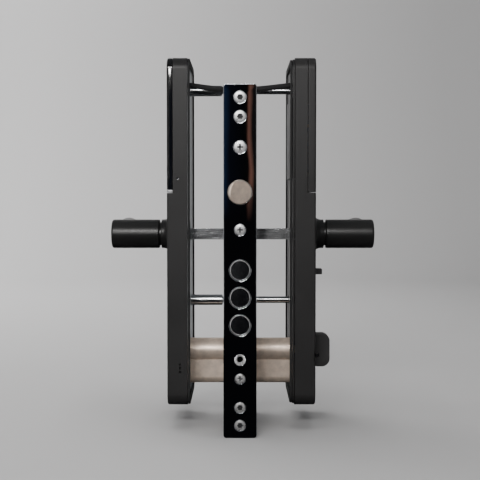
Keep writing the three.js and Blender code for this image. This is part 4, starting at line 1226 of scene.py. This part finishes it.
@dataclass
class KeyCylinder:
    """The cylinder's body and the key plug with its keyway."""

    section: EuroProfile = field(default_factory=EuroProfile)
    plug: float = 6.0
    gap: float = 0.3
    slot_half: float = 5.3
    keyway: float = 1.6

    def build(self, shop: Workshop) -> None:
        """Makes the body with its cam slot and bores, then the plug."""
        bench = shop.bench
        y, z = self.section.y, self.section.z
        low, high = span("cylinder_body")
        body = self.section.bar(bench, "cylinder_body_machined", low.x, high.x)
        bore = self.plug + self.gap
        through = [(0.0, low.x - 1.0), (bore, low.x - 1.0), (bore, high.x + 1.0), (0.0, high.x + 1.0)]
        half = self.slot_half
        bench.cut(
            body,
            bench.turned("plug_bore", through, (0.0, y, z), Axis.X, 64),
            bench.block("cam_slot", (-half, y - 10.0, z - 7.7), (half, y + 10.0, z + 10.0)),
            bench.turned(
                "screw_hole", [(0.0, -9.0), (2.8, -9.0), (2.8, 3.3), (0.0, 3.3)], (0.0, y, z - 11.5), Axis.Y, 40
            ),
        )
        bench.shade(body, 30.0, flat_faces=True)
        shop.seat(body, shop.finishes.nickel, "lock", "cylinder_body", edge=0.3)
        low, high = span("key_plug")
        rim = self.plug
        profile = [(0.0, low.x), (rim - 0.5, low.x), (rim, low.x + 0.5)]
        profile += [(rim, high.x - 0.3), (rim - 0.3, high.x)]
        plug = bench.turned("key_plug_machined", [*profile, (0.0, high.x)], (0.0, y, z), Axis.X, 64)
        slot = self.keyway / 2
        keyway = bench.block("keyway", (low.x - 1.0, y - slot, z - 3.5), (low.x + 25.0, y + slot, z + 4.5))
        bench.cut(plug, keyway)
        ward = bench.block("ward", (low.x - 1.0, y - slot - 0.7, z - 0.9), (low.x + 25.0, y + slot, z + 0.5))
        bench.cut(plug, ward)
        bench.shade(plug, 30.0, flat_faces=True)
        shop.seat(plug, shop.finishes.brass, "key", "key_plug", edge=0.15)


# ---------------------------------------------------------------- levers


@dataclass
class Handle:
    """A lever and its collar on one side of the door.

    Attributes:
        side: -1 outside, 1 inside.
        seat: Where the unit meets the door on X, without its sign.
        groove: Where the collar ends, from the seat.
        end: Where the lever's boss ends, from the seat.
        inner: Where its journal ends inside the unit, from the seat.
        face: Where the unit's front is, from the seat.
        domed: Whether the collar has a wide rose under it.
    """

    side: int
    groove: float
    end: float
    inner: float
    face: float
    domed: bool
    lever_node: str
    collar_node: str
    body: str
    seat: float = 35.0
    radius: float = 10.5
    journal: float = 8.5
    groove_wide: float = 1.3
    rounding: float = 1.3
    dome: float = 0.6
    grip_radius: float = 9.6
    grip_inset: float = 10.4
    grip_reach: float = 117.95
    bow: float = 10.0
    nose: float = 0.35
    gap: float = 0.3

    def out(self, height: float) -> float:
        """A distance from the door's seat as a place on X."""
        return self.side * (self.seat + height)

    def turned(self, bench: Bench, name: str, profile: Profile, steps: int = 96) -> Piece:
        """Turns a profile about the lever's axis, with heights from the door's seat."""
        return bench.turned(name, [(r, self.out(h)) for r, h in profile], (0.0, 60.0, 0.0), Axis.X, steps)

    def boss(self, bench: Bench) -> Piece:
        """The thick round part of the lever, with its domed end."""
        start = self.groove + self.groove_wide
        rim = self.end - self.dome - self.rounding
        profile = [(0.0, start), (self.radius - 0.5, start), (self.radius, start + 0.5)]
        profile += arc((self.radius - self.rounding, rim), self.rounding, 0.0, 78.0, 8)
        profile += [(self.radius * 0.6, self.end - self.dome * 0.36)]
        profile += [(self.radius * 0.3, self.end - self.dome * 0.09)]
        return self.turned(bench, "boss", [*profile, (0.0, self.end)])

    def grip(self, bench: Bench) -> Piece:
        """The grip, turned straight and then bowed away from the door station by station."""
        radius, tall = self.grip_radius, self.grip_radius * self.nose
        last = self.grip_reach - tall
        stations = [last * i / 26 for i in range(27)]
        profile = [(0.0, 0.0), *[(radius, s) for s in stations]]
        for i in range(1, 10):
            a = math.radians(10.0 * i)
            profile.append((radius * math.cos(a), last + tall * math.sin(a)))
        middle_x = self.out(self.end - self.grip_inset)
        piece = bench.turned("grip", profile, (middle_x, 60.0, 0.0), Axis.Y, 72)
        for station in [*stations[1:-1], None]:
            place = station if station is not None else last
            shift = self.bow * self.run(place) ** 2 * self.side
            if station is None:
                bench.pick(piece, vertex=lambda v: v.y > 60.0 + last - 0.05)
            else:
                bench.pick(piece, vertex=lambda v, at=place: abs(v.y - 60.0 - at) < 0.05)
            bpy.ops.transform.translate(value=(shift * MM, 0.0, 0.0))
            bench.done()
        return piece

    def run(self, reach: float) -> float:
        """How far along the grip's curve a distance from the lever's axis lies, from 0 to 1."""
        last = self.grip_reach - self.grip_radius * self.nose
        pull = self.grip_reach * 0.45
        a, b = last - 2 * pull, 2 * pull
        return (-b + math.sqrt(b * b + 4 * a * reach)) / (2 * a) if abs(a) > 1e-6 else reach / b

    def lever(self, shop: Workshop) -> None:
        """Casts boss and grip as one skin and adds the journal."""
        bench = shop.bench
        piece = self.boss(bench)
        bench.unite(piece, self.grip(bench))
        bench.remesh(piece, 0.45, 5)
        start = self.groove + self.groove_wide
        journal = [(0.0, self.inner), (self.journal - 0.3, self.inner), (self.journal, self.inner + 0.3)]
        journal += [(self.journal, start + 0.8), (0.0, start + 0.8)]
        neck = self.turned(bench, "journal", journal, 72)
        bench.merge(piece, neck)
        piece.name = f"{self.lever_node}_cast"
        bench.shade(piece, 35.0)
        shop.seat(piece, shop.finishes.lever, self.body, self.lever_node)

    def collar(self, shop: Workshop) -> None:
        """Turns the fixed collar, flared where it meets the unit."""
        foot, bore, wide = self.face + self.gap, self.journal + self.gap, 13.5
        rise = foot + (1.2 if self.domed else 0.0)
        profile: Profile = [(bore, foot)]
        if self.domed:
            profile += curve_between((20.0, foot), (18.0, foot + 0.96), (wide, rise), 8)
        else:
            profile += [(wide, foot)]
        waist = (self.radius + 0.5, rise + 0.6)
        profile += curve_between((wide, rise), waist, (self.radius, rise + 4.5), 12)[1:]
        profile += [(self.radius, self.groove - 0.4), (self.radius - 0.1, self.groove - 0.12)]
        profile += [(self.radius - 0.4, self.groove), (bore + 0.2, self.groove), (bore, self.groove - 0.2)]
        piece = self.turned(shop.bench, f"{self.collar_node}_turned", [*profile, profile[0]])
        shop.bench.shade(piece, 30.0)
        shop.seat(piece, shop.finishes.lever, "lock", self.collar_node)

    def build(self, shop: Workshop) -> None:
        """Makes the collar and the lever."""
        self.collar(shop)
        self.lever(shop)


# ---------------------------------------------------------------- outer unit


@dataclass
class OuterUnit:
    """The keypad unit outside: housing, gloss keypad, trim, seal, handle and fixings."""

    corner: float = 8.5
    edge: float = 1.3
    wall: float = 2.2
    key_top: float = 105.0
    key_pitch: tuple[float, float] = (19.0, 18.0)
    key_size: float = 7.0
    sound: tuple[float, float] = (0.75, 2.6)
    keys: tuple[str, ...] = ("1", "2", "3", "4", "5", "6", "7", "8", "9", "*", "0", "#")
    section: EuroProfile = field(default_factory=EuroProfile)
    handle: Handle = field(
        default_factory=lambda: Handle(
            -1, 22.2, 59.0, 8.6, 16.0, False, "outer_lever", "outer_collar", "outer_handle"
        )
    )

    def housing(self, shop: Workshop) -> None:
        """Shapes the cast housing: a full back, and a front that stops under the keypad."""
        bench = shop.bench
        low, high = span("outer_housing")
        front, rim = low.x, high.x
        step = front + 4.3
        shelf = span("keypad_trim")[0].z - 0.3
        piece = bench.slab("outer_housing_cast", low, high, self.corner, self.edge, front)
        notch = bench.block("notch", (front - 1.0, low.y - 1.0, shelf), (step, high.y + 1.0, high.z + 1.0))
        bench.cut(piece, notch)
        bench.hollow(piece, rim, self.wall, step + self.wall)
        room = bench.slab(
            "room", (front + self.wall, low.y + self.wall, low.z + self.wall),
            (step + self.wall + 0.2, high.y - self.wall, shelf - self.wall), self.corner - self.wall, 0.0, 0.0,
        )
        hole = [(0.0, front - 1.0), (8.8, front - 1.0), (8.8, rim), (0.0, rim)]
        bench.cut(
            piece, room, bench.turned("journal_hole", hole, (0.0, 60.0, 0.0), Axis.X, 72),
            self.section.bar(bench, "key_hole", front - 1.0, rim, 0.3),
        )
        radius, pitch = self.sound
        mic, speaker = middle("microphone"), middle("speaker")
        holes = [(mic.x, mic.z), *((speaker.x + 1.7, speaker.z + i * pitch) for i in (-1, 0, 1))]
        bore = [(0.0, low.y - 1.0), (radius, low.y - 1.0), (radius, low.y + 3.4), (0.0, low.y + 3.4)]
        for x, z in holes:
            bench.cut(piece, bench.turned("sound_hole", bore, (x, 0.0, z), Axis.Y, 24))
        bench.shade(piece, 32.0, flat_faces=True)
        shop.seat(piece, shop.finishes.black, "lock", "outer_housing", edge=0.3)

    def keypad(self, shop: Workshop) -> None:
        """Shapes the gloss keypad that wraps the unit's sides, and its trim strip."""
        bench = shop.bench
        low, high = span("keypad_panel")
        front, back = low.x, high.x
        piece = bench.slab(
            "keypad_panel_gloss", (front, low.y, low.z - 40.0), high, self.corner, self.edge, front
        )
        bench.slice(piece, (0.0, 0.0, low.z), (0.0, 0.0, -1.0))
        bench.hollow(piece, back, 1.8, front + 1.8)
        bench.soften(piece, 0.2, 2, 50.0)
        bench.shade(piece, 32.0, flat_faces=True)
        shop.seat(piece, shop.finishes.panel, "lock", "keypad_panel")
        low, high = span("keypad_trim")
        strip = bench.block("keypad_trim_strip", low, high)
        bench.round_edges(
            strip, lambda a, b: abs(a.z - b.z) > 0.01 and abs(a.x - low.x) < 0.01, self.edge, 5
        )
        bench.soften(strip, 0.14, 2, 50.0)
        bench.shade(strip, 32.0, flat_faces=True)
        shop.seat(strip, shop.finishes.trim, "lock", "keypad_trim")

    def key_marks(self, shop: Workshop) -> None:
        """Prints the twelve plain key marks on the keypad as one thin piece."""
        bench = shop.bench
        front = span("keypad_panel")[0].x
        marks = []
        for index, mark in enumerate(self.keys):
            row, column = divmod(index, 3)
            y = 60.0 - (column - 1) * self.key_pitch[0]
            z = self.key_top - row * self.key_pitch[1]
            bench.clear()
            bpy.ops.object.text_add(location=metres((front - 0.015, y, z)))
            text = bpy.context.active_object
            text.rotation_euler = (math.pi / 2, 0.0, -math.pi / 2)
            text.data.body = mark
            text.data.size = self.key_size * MM * 1.35
            text.data.align_x = "CENTER"
            text.data.align_y = "CENTER"
            text.data.extrude = 0.02 * MM
            text.data.resolution_u = 6
            bpy.ops.object.convert(target="MESH")
            text.name = f"key_mark_{index}"
            bench.settle(text)
            marks.append(text)
        bench.merge(marks[0], *marks[1:])
        bench.weld(marks[0])
        marks[0].name = "keypad_marks"
        shop.seat(marks[0], shop.finishes.ink, "lock")

    def seal(self, shop: Workshop) -> None:
        """Makes the gasket ring between the unit and the door."""
        make_seal(shop, "outer_gasket", 0.4, self.corner)

    def fixings(self, shop: Workshop) -> None:
        """Turns one post riveted to the plate and copies it for the other."""
        nodes = ("outer_post_upper", "outer_post_lower")
        low, high = span(nodes[0])
        mid = middle(nodes[0])
        profile = [(0.0, low.x), (5.6, low.x), (6.0, low.x + 0.4), (6.0, low.x + 1.6), (4.0, low.x + 1.6)]
        profile += [(4.0, high.x - 0.4), (3.6, high.x), (2.8, high.x), (2.8, low.x + 3.5), (0.0, low.x + 3.5)]
        piece = shop.bench.turned(f"{nodes[0]}_turned", profile, (0.0, mid.y, mid.z), Axis.X, 48)
        shop.bench.shade(piece, 30.0)
        for node, post in shop.repeat(piece, nodes, "_turned"):
            shop.seat(post, shop.finishes.steel, "lock", node)

    def lead(self, shop: Workshop) -> None:
        """Lays the lead that joins the two units through the door, a little slack."""
        y, high, low = 42.0, 106.0, 103.5
        knots = [(-41.9, high), (-35.0, high), (-14.0, low), (10.5, low), (35.0, high), (40.8, high)]
        data = bpy.data.curves.new("link_cable_lead", "CURVE")
        data.dimensions = "3D"
        data.bevel_depth = 2.0 * MM
        data.bevel_resolution = 6
        data.use_fill_caps = True
        points = smooth_line([Vector((x, y, z)) for x, z in knots], 7)
        spline = data.splines.new("POLY")
        spline.points.add(len(points) - 1)
        for point, place in zip(spline.points, points):
            point.co = (*metres(place), 1.0)
        spline.use_smooth = True
        piece = bpy.data.objects.new("link_cable_lead", data)
        bpy.context.scene.collection.objects.link(piece)
        data.materials.append(shop.finishes.rubber.material())
        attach(piece, "lock")
        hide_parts("link_cable")

    def build(self, shop: Workshop) -> None:
        """Makes every piece of the outer unit."""
        self.housing(shop)
        self.keypad(shop)
        self.key_marks(shop)
        self.seal(shop)
        self.fixings(shop)
        self.lead(shop)
        self.handle.build(shop)


def smooth_line(knots: Sequence[Vector], steps: int) -> list[Vector]:
    """A smooth line through knots.

    Args:
        knots: The points that it passes through.
        steps: Segments between two knots.

    Returns:
        The line's points, with the first and last knot at its ends.
    """
    ends = [knots[0] * 2 - knots[1], *knots, knots[-1] * 2 - knots[-2]]
    made = []
    for a, b, c, d in zip(ends, ends[1:], ends[2:], ends[3:]):
        for i in range(steps):
            t = i / steps
            made.append(
                0.5
                * (2 * b + (c - a) * t + (2 * a - 5 * b + 4 * c - d) * t * t + (3 * b - a - 3 * c + d) * t**3)
            )
    return [*made, knots[-1]]


def make_seal(shop: Workshop, node: str, inset: float, corner: float) -> None:
    """Makes a gasket ring that follows a unit's outline.

    Args:
        shop: The workshop.
        node: The frame's gasket node.
        inset: How far inside the panel's outline it runs.
        corner: The panel's corner radius.
    """
    bench = shop.bench
    low, high = span(node)
    piece = bench.slab(f"{node}_ring", low, high, corner - inset, 0.0, low.x)
    room = bench.slab(
        "room", (low.x - 1.0, low.y + 4.0, low.z + 4.0), (high.x + 1.0, high.y - 4.0, high.z - 4.0),
        corner - inset - 4.0, 0.0, low.x,
    )
    bench.cut(piece, room)
    bench.soften(piece, 0.3, 2, 40.0)
    bench.shade(piece, 30.0, flat_faces=True)
    shop.seat(piece, shop.finishes.rubber, "lock", node)


# ---------------------------------------------------------------- inner unit


@dataclass
class InnerUnit:
    """The battery unit inside: housing, cover, plate, seal, handle, thumbturn, slider and fixings."""

    corner: float = 8.5
    edge: float = 1.3
    wall: float = 2.2
    key_z: float = -85.0
    scoop_chord: float = 14.6
    scoop_deep: float = 1.25
    slot: tuple[float, float] = (2.4, 4.3)
    travel: float = 6.0
    handle: Handle = field(
        default_factory=lambda: Handle(
            1, 26.0, 63.0, 10.6, 18.0, True, "inner_lever", "inner_collar", "inner_handle"
        )
    )

    def housing(self, shop: Workshop) -> None:
        """Shapes the housing: a stepped front, a trough for the thumbturn, and its holes."""
        bench = shop.bench
        low, high = span("inner_housing")
        rim, front = low.x, high.x
        cover_low = span("battery_cover")[0]
        step = cover_low.x - 0.3
        piece = bench.slab("inner_housing_cast", low, high, self.corner, self.edge, front)
        notch = bench.block(
            "notch", (step, low.y - 1.0, cover_low.z - 0.3), (front + 1.0, high.y + 1.0, high.z + 1.0)
        )
        bench.cut(piece, notch)
        bench.hollow(piece, rim, self.wall, step - self.wall)
        room = bench.slab(
            "room", (step - self.wall - 0.2, low.y + self.wall, low.z + self.wall),
            (front - self.wall, high.y - self.wall, cover_low.z - 0.3 - self.wall),
            self.corner - self.wall, 0.0, 0.0,
        )
        half, deep = self.scoop_chord / 2, self.scoop_deep
        round_by = (half * half + deep * deep) / (2 * deep)
        trough = [(0.0, low.y - 1.0), (round_by, low.y - 1.0), (round_by, high.y + 1.0), (0.0, high.y + 1.0)]
        hole = [(0.0, rim), (8.8, rim), (8.8, front + 1.0), (0.0, front + 1.0)]
        stem = [(0.0, rim), (6.3, rim), (6.3, front + 1.0), (0.0, front + 1.0)]
        tray_low, tray_high = span("battery_tray")
        slider_z = middle("privacy_slider").z
        tall, wide = self.slot
        bench.cut(
            piece, room,
            bench.turned("trough", trough, (front + round_by - deep, 0.0, self.key_z), Axis.Y, 220),
            bench.turned("journal_hole", hole, (0.0, 60.0, 0.0), Axis.X, 72),
            bench.turned("stem_hole", stem, (0.0, 60.0, self.key_z), Axis.X, 64),
            bench.block(
                "slider_slot", (front - self.wall - 1.0, 60.0 - wide, slider_z - tall),
                (front + 1.0, 60.0 + wide + self.travel, slider_z + tall),
            ),
            bench.block(
                "tray_window", (rim, tray_low.y - 0.3, tray_low.z - 0.3),
                (front, tray_high.y + 0.3, tray_high.z + 0.3),
            ),
        )
        bench.shade(piece, 32.0, flat_faces=True)
        shop.seat(piece, shop.finishes.black, "lock", "inner_housing", edge=0.3)

    def cover(self, shop: Workshop) -> None:
        """Shapes the sliding battery cover."""
        bench = shop.bench
        low, high = span("battery_cover")
        piece = bench.slab(
            "battery_cover_cast", (low.x, low.y, low.z - 40.0), high, self.corner, self.edge, high.x
        )
        bench.slice(piece, (0.0, 0.0, low.z), (0.0, 0.0, -1.0))
        bench.hollow(piece, low.x, 1.6, high.x - 1.6)
        bench.soften(piece, 0.2, 2, 50.0)
        bench.shade(piece, 32.0, flat_faces=True)
        shop.seat(piece, shop.finishes.black, "cover", "battery_cover")

    def thumbturn(self, shop: Workshop) -> None:
        """Shapes the thumbturn: a flat rounded blade on a round stem, with its screw hole."""
        bench = shop.bench
        low, high = span("thumbturn")
        mid = middle("thumbturn")
        start = 54.0
        blade = bench.block(
            "thumbturn_cast", (start, mid.y - 4.5, mid.z - 12.25), (high.x, mid.y + 4.5, mid.z + 12.25)
        )
        bench.round_edges(blade, lambda a, b: abs(a.y - b.y) > 0.01 and a.x > high.x - 0.01, 5.8, 12)
        bench.round_edges(blade, lambda a, b: abs(a.y - b.y) > 1.0 and a.x < start + 0.01, 2.4, 8)
        bench.round_edges(
            blade, lambda a, b: abs(a.y - b.y) < 0.01 and abs(abs(a.y - mid.y) - 4.5) < 0.01, 0.9, 4
        )
        stem = [(0.0, low.x), (5.7, low.x), (6.0, low.x + 0.3), (6.0, start + 1.0), (0.0, start + 1.0)]
        bench.unite(blade, bench.turned("stem", stem, (0.0, mid.y, mid.z), Axis.X, 64))
        socket = bench.block(
            "socket", (low.x - 1.0, mid.y - 2.8, mid.z - 2.8), (59.3, mid.y + 2.8, mid.z + 2.8)
        )
        screw = middle("thumbturn_screw")
        bore = [(0.0, mid.y - 6.0), (1.5, mid.y - 6.0), (1.5, mid.y + 1.8), (0.0, mid.y + 1.8)]
        bench.cut(blade, socket, bench.turned("screw_bore", bore, (screw.x, 0.0, screw.z), Axis.Y, 32))
        bench.shade(blade, 32.0, flat_faces=True)
        shop.seat(blade, shop.finishes.turn, "turn", "thumbturn", edge=0.3)

    def slider(self, shop: Workshop) -> None:
        """Shapes the small privacy slider with its base behind the wall."""
        bench = shop.bench
        low, high = span("privacy_slider")
        mid = middle("privacy_slider")
        face = low.x + 1.6
        piece = bench.block("nub", (face - 1.0, mid.y - 4.0, mid.z - 2.1), (high.x, mid.y + 4.0, mid.z + 2.1))
        bench.round_edges(piece, lambda a, b: a.x > high.x - 0.01 and b.x > high.x - 0.01, 0.7, 4)
        bench.unite(piece, bench.block("base", low, (face, high.y, high.z)))
        bench.soften(piece, 0.2, 2, 50.0)
        bench.shade(piece, 32.0, flat_faces=True)
        piece.name = "privacy_slider_moulded"
        shop.seat(piece, shop.finishes.plastic, "privacy", "privacy_slider")

    def fixings(self, shop: Workshop) -> None:
        """Turns one long bolt that pulls the units together and copies it for the other."""
        nodes = ("through_bolt_upper", "through_bolt_lower")
        low, high = span(nodes[0])
        mid = middle(nodes[0])
        profile = [(0.0, low.x), (2.0, low.x), (2.5, low.x + 0.6)]
        pitch, turns = 0.8, 30
        for i in range(turns):
            foot = low.x + 0.8 + i * pitch
            profile += [(2.48, foot), (2.12, foot + pitch * 0.5)]
        head = high.x - 2.6
        profile += [(2.5, low.x + 0.8 + turns * pitch), (2.5, head), (4.5, head), (4.5, high.x - 0.6)]
        profile += [(4.0, high.x), (0.0, high.x)]
        piece = shop.bench.turned(f"{nodes[0]}_turned", profile, (0.0, mid.y, mid.z), Axis.X, 40)
        shop.bench.shade(piece, 30.0)
        for node, bolt in shop.repeat(piece, nodes, "_turned"):
            shop.seat(bolt, shop.finishes.steel, "lock", node)

    def build(self, shop: Workshop) -> None:
        """Makes every piece of the inner unit."""
        self.housing(shop)
        self.cover(shop)
        self.thumbturn(shop)
        self.slider(shop)
        make_seal(shop, "inner_gasket", 1.4, self.corner)
        self.fixings(shop)
        self.handle.build(shop)


# ---------------------------------------------------------------- stage


@dataclass
class Studio:
    """Floor, surroundings, lights and camera. Lengths here are in metres."""

    camera_place: Point = (0.0, -0.694, 0.027)
    camera_pitch: float = -2.4
    lens: float = 77.2
    wall: float = 1.9
    curve: float = 0.6
    lamp_colour: Point = (1.0, 0.985, 0.97)
    grey: Point = (0.62, 0.62, 0.625)

    def pale(self) -> bpy.types.Material:
        """The floor's plain matte grey with painted shade: it darkens a little towards the right, as if the
        light fell from the left.
        """
        desk = Desk("pale_floor")
        split = desk.add("ShaderNodeSeparateXYZ")
        desk.link(desk.place, split.inputs["Vector"])
        side = desk.spread(split.outputs["X"], 0.0, 1.0, -0.5, 0.5)
        # Painted shade: the grey falls to two thirds of itself towards the right.
        grey_with_painted_shade = desk.tint(side, [(0.0, self.grey), (1.0, scaled(self.grey, 0.66))])
        desk.link(grey_with_painted_shade, desk.shader.inputs["Base Color"])
        desk.put(Roughness=0.9, Specular_IOR_Level=0.1)
        desk.bump([(desk.noise(400.0, 3.0), 60.0)], 0.2)
        return desk.material

    def floor(self, bench: Bench) -> None:
        """Turns a pale floor that curves up into a wall all round the object."""
        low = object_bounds()[0].z / MM - 0.1
        reach, bend = self.wall / MM, self.curve / MM
        profile = [(0.0, low), (reach - bend, low)]
        profile += arc((reach - bend, low + bend), bend, -90.0, 0.0, 16)[1:]
        profile += [(reach, low + 2600.0)]
        sweep = bench.turned("floor", profile, (0.0, 60.0, 0.0), Axis.Z, 96)
        bench.pick(sweep, face=lambda c, n: True)
        bpy.ops.mesh.flip_normals()
        bench.done()
        bench.shade(sweep, 60.0)
        sweep.data.materials.append(self.pale())
        sweep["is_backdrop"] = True

    def flags(self, bench: Bench) -> None:
        """Stands faintly glowing dark cards where only glossy surfaces can see them: painted reflections, so
        that polished metal reads dark.
        """
        dark = self.painted_reflection_card()
        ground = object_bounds()[0].z / MM - 0.08
        cards = {
            "card_for_plate": ((-46.0, -1240.0, ground), (46.0, -1230.0, 420.0)),
            "card_for_keypad": ((-160.0, -1240.0, ground), (-46.0, -1230.0, 235.0)),
            "card_low": ((-800.0, -1260.0, ground), (800.0, -1250.0, 60.0)),
            "card_on_floor": ((-500.0, -1230.0, ground), (500.0, 330.0, ground + 0.06)),
        }
        for name, (low, high) in cards.items():
            card = bench.block(name, low, high)
            card.data.materials.append(dark)
            card.visible_camera = False
            card.visible_diffuse = False
            card.visible_shadow = False
            card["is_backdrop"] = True

    def painted_reflection_card(self) -> bpy.types.Material:
        """A card that glows though it is no lamp and is seen only in reflections: a painted reflection,
        near-black with a dim blue side and a dim brown strip high on the other side.
        """
        desk = Desk("painted_reflection_card")
        split = desk.add("ShaderNodeSeparateXYZ")
        desk.link(desk.place, split.inputs["Vector"])
        waver = desk.add("ShaderNodeMath", operation="MULTIPLY_ADD")
        desk.link(desk.noise(11.0, 2.0), waver.inputs[0])
        waver.inputs[1].default_value = 0.016
        desk.link(split.outputs["X"], waver.inputs[2])
        side = desk.spread(waver.outputs[0], 0.0, 1.0, -0.038, 0.054)
        # Painted reflection: a dim blue patch on one side and a brown streak high on the other, which the
        # mirror plate shows.
        shades = [(0.14, (0.012, 0.024, 0.055)), (0.3, (0.004, 0.005, 0.009)), (0.66, (0.003, 0.003, 0.003))]
        shades += [(0.71, (0.2, 0.09, 0.065)), (0.76, (0.12, 0.06, 0.045)), (0.81, (0.01, 0.009, 0.009))]
        high = desk.spread(split.outputs["Z"], 0.0, 1.0, -0.02, 0.06)
        mix = desk.add("ShaderNodeMix", data_type="RGBA")
        desk.link(high, mix.inputs["Factor"])
        mix.inputs["A"].default_value = (0.003, 0.003, 0.004, 1.0)
        desk.link(desk.tint(side, shades), mix.inputs["B"])
        # The colour is emitted, so the card glows though it is no lamp.
        desk.link(mix.outputs["Result"], desk.shader.inputs["Emission Color"])
        desk.put(Base_Color=(0.0, 0.0, 0.0, 1.0), Roughness=1.0, Specular_IOR_Level=0.0, Emission_Strength=1.0)
        return desk.material

    def lamp(
        self, name: str, place: Point, aim: Point, size: tuple[float, float], power: float, glossy: bool = True
    ) -> None:
        """Adds a soft rectangular lamp.

        Args:
            name: Its name.
            place: Where it stands.
            aim: What it points at.
            size: Its width and height.
            power: Its power in watts.
            glossy: Whether it shows in reflections.
        """
        data = bpy.data.lights.new(name, "AREA")
        data.shape = "RECTANGLE"
        data.size, data.size_y = size
        data.energy = power
        data.color = self.lamp_colour
        lamp = bpy.data.objects.new(name, data)
        lamp.visible_glossy = glossy
        lamp.location = place
        lamp.rotation_euler = (Vector(aim) - Vector(place)).to_track_quat("-Z", "Y").to_euler()
        bpy.context.scene.collection.objects.link(lamp)

    def lights(self) -> None:
        """Sets the pale surroundings and the soft lamps."""
        world = bpy.data.worlds.new("studio")
        world.use_nodes = True
        world.node_tree.nodes["Background"].inputs["Color"].default_value = (0.9, 0.95, 1.0, 1.0)
        world.node_tree.nodes["Background"].inputs["Strength"].default_value = 0.16
        bpy.context.scene.world = world
        self.lamp("top", (-0.1, 0.1, 1.4), (0.0, 0.1, 0.0), (1.4, 1.0), 13.0, glossy=False)
        self.lamp("front_soft", (-0.2, -1.2, 0.6), (0.0, 0.0, 0.0), (0.7, 0.2), 11.0)
        self.lamp("keypad_glint", (-0.142, -1.22, 0.305), (-0.05, 0.0, 0.1), (0.055, 0.085), 1.1)
        self.lamp("back_left", (-0.7, 0.7, 1.2), (-0.9, 1.7, 0.2), (0.8, 0.6), 22.0, glossy=False)

    def camera(self) -> None:
        """Stands the camera in front of the door's edge."""
        data = bpy.data.cameras.new("camera")
        data.lens = self.lens
        data.sensor_width = 36.0
        data.clip_start, data.clip_end = 0.01, 20.0
        camera = bpy.data.objects.new("camera", data)
        camera.location = self.camera_place
        camera.rotation_euler = (math.radians(90.0 + self.camera_pitch), 0.0, 0.0)
        bpy.context.scene.collection.objects.link(camera)
        bpy.context.scene.camera = camera

    def build(self, bench: Bench) -> None:
        """Sets the whole stage."""
        self.floor(bench)
        self.flags(bench)
        self.lights()
        self.camera()


def main() -> None:
    """Builds every sub-assembly on the frame, then the stage."""
    logging.basicConfig(level=logging.INFO, format="%(message)s")
    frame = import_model()
    shop = Workshop(frame)
    shop.dress_frame()
    for assembly in (Faceplate(), Bolts(), LockCase(), KeyCylinder(), OuterUnit(), InnerUnit()):
        LOG.info("building %s", type(assembly).__name__)
        assembly.build(shop)
    Studio().build(shop.bench)
    shop.bench.clear()


if __name__ == "__main__":
    main()
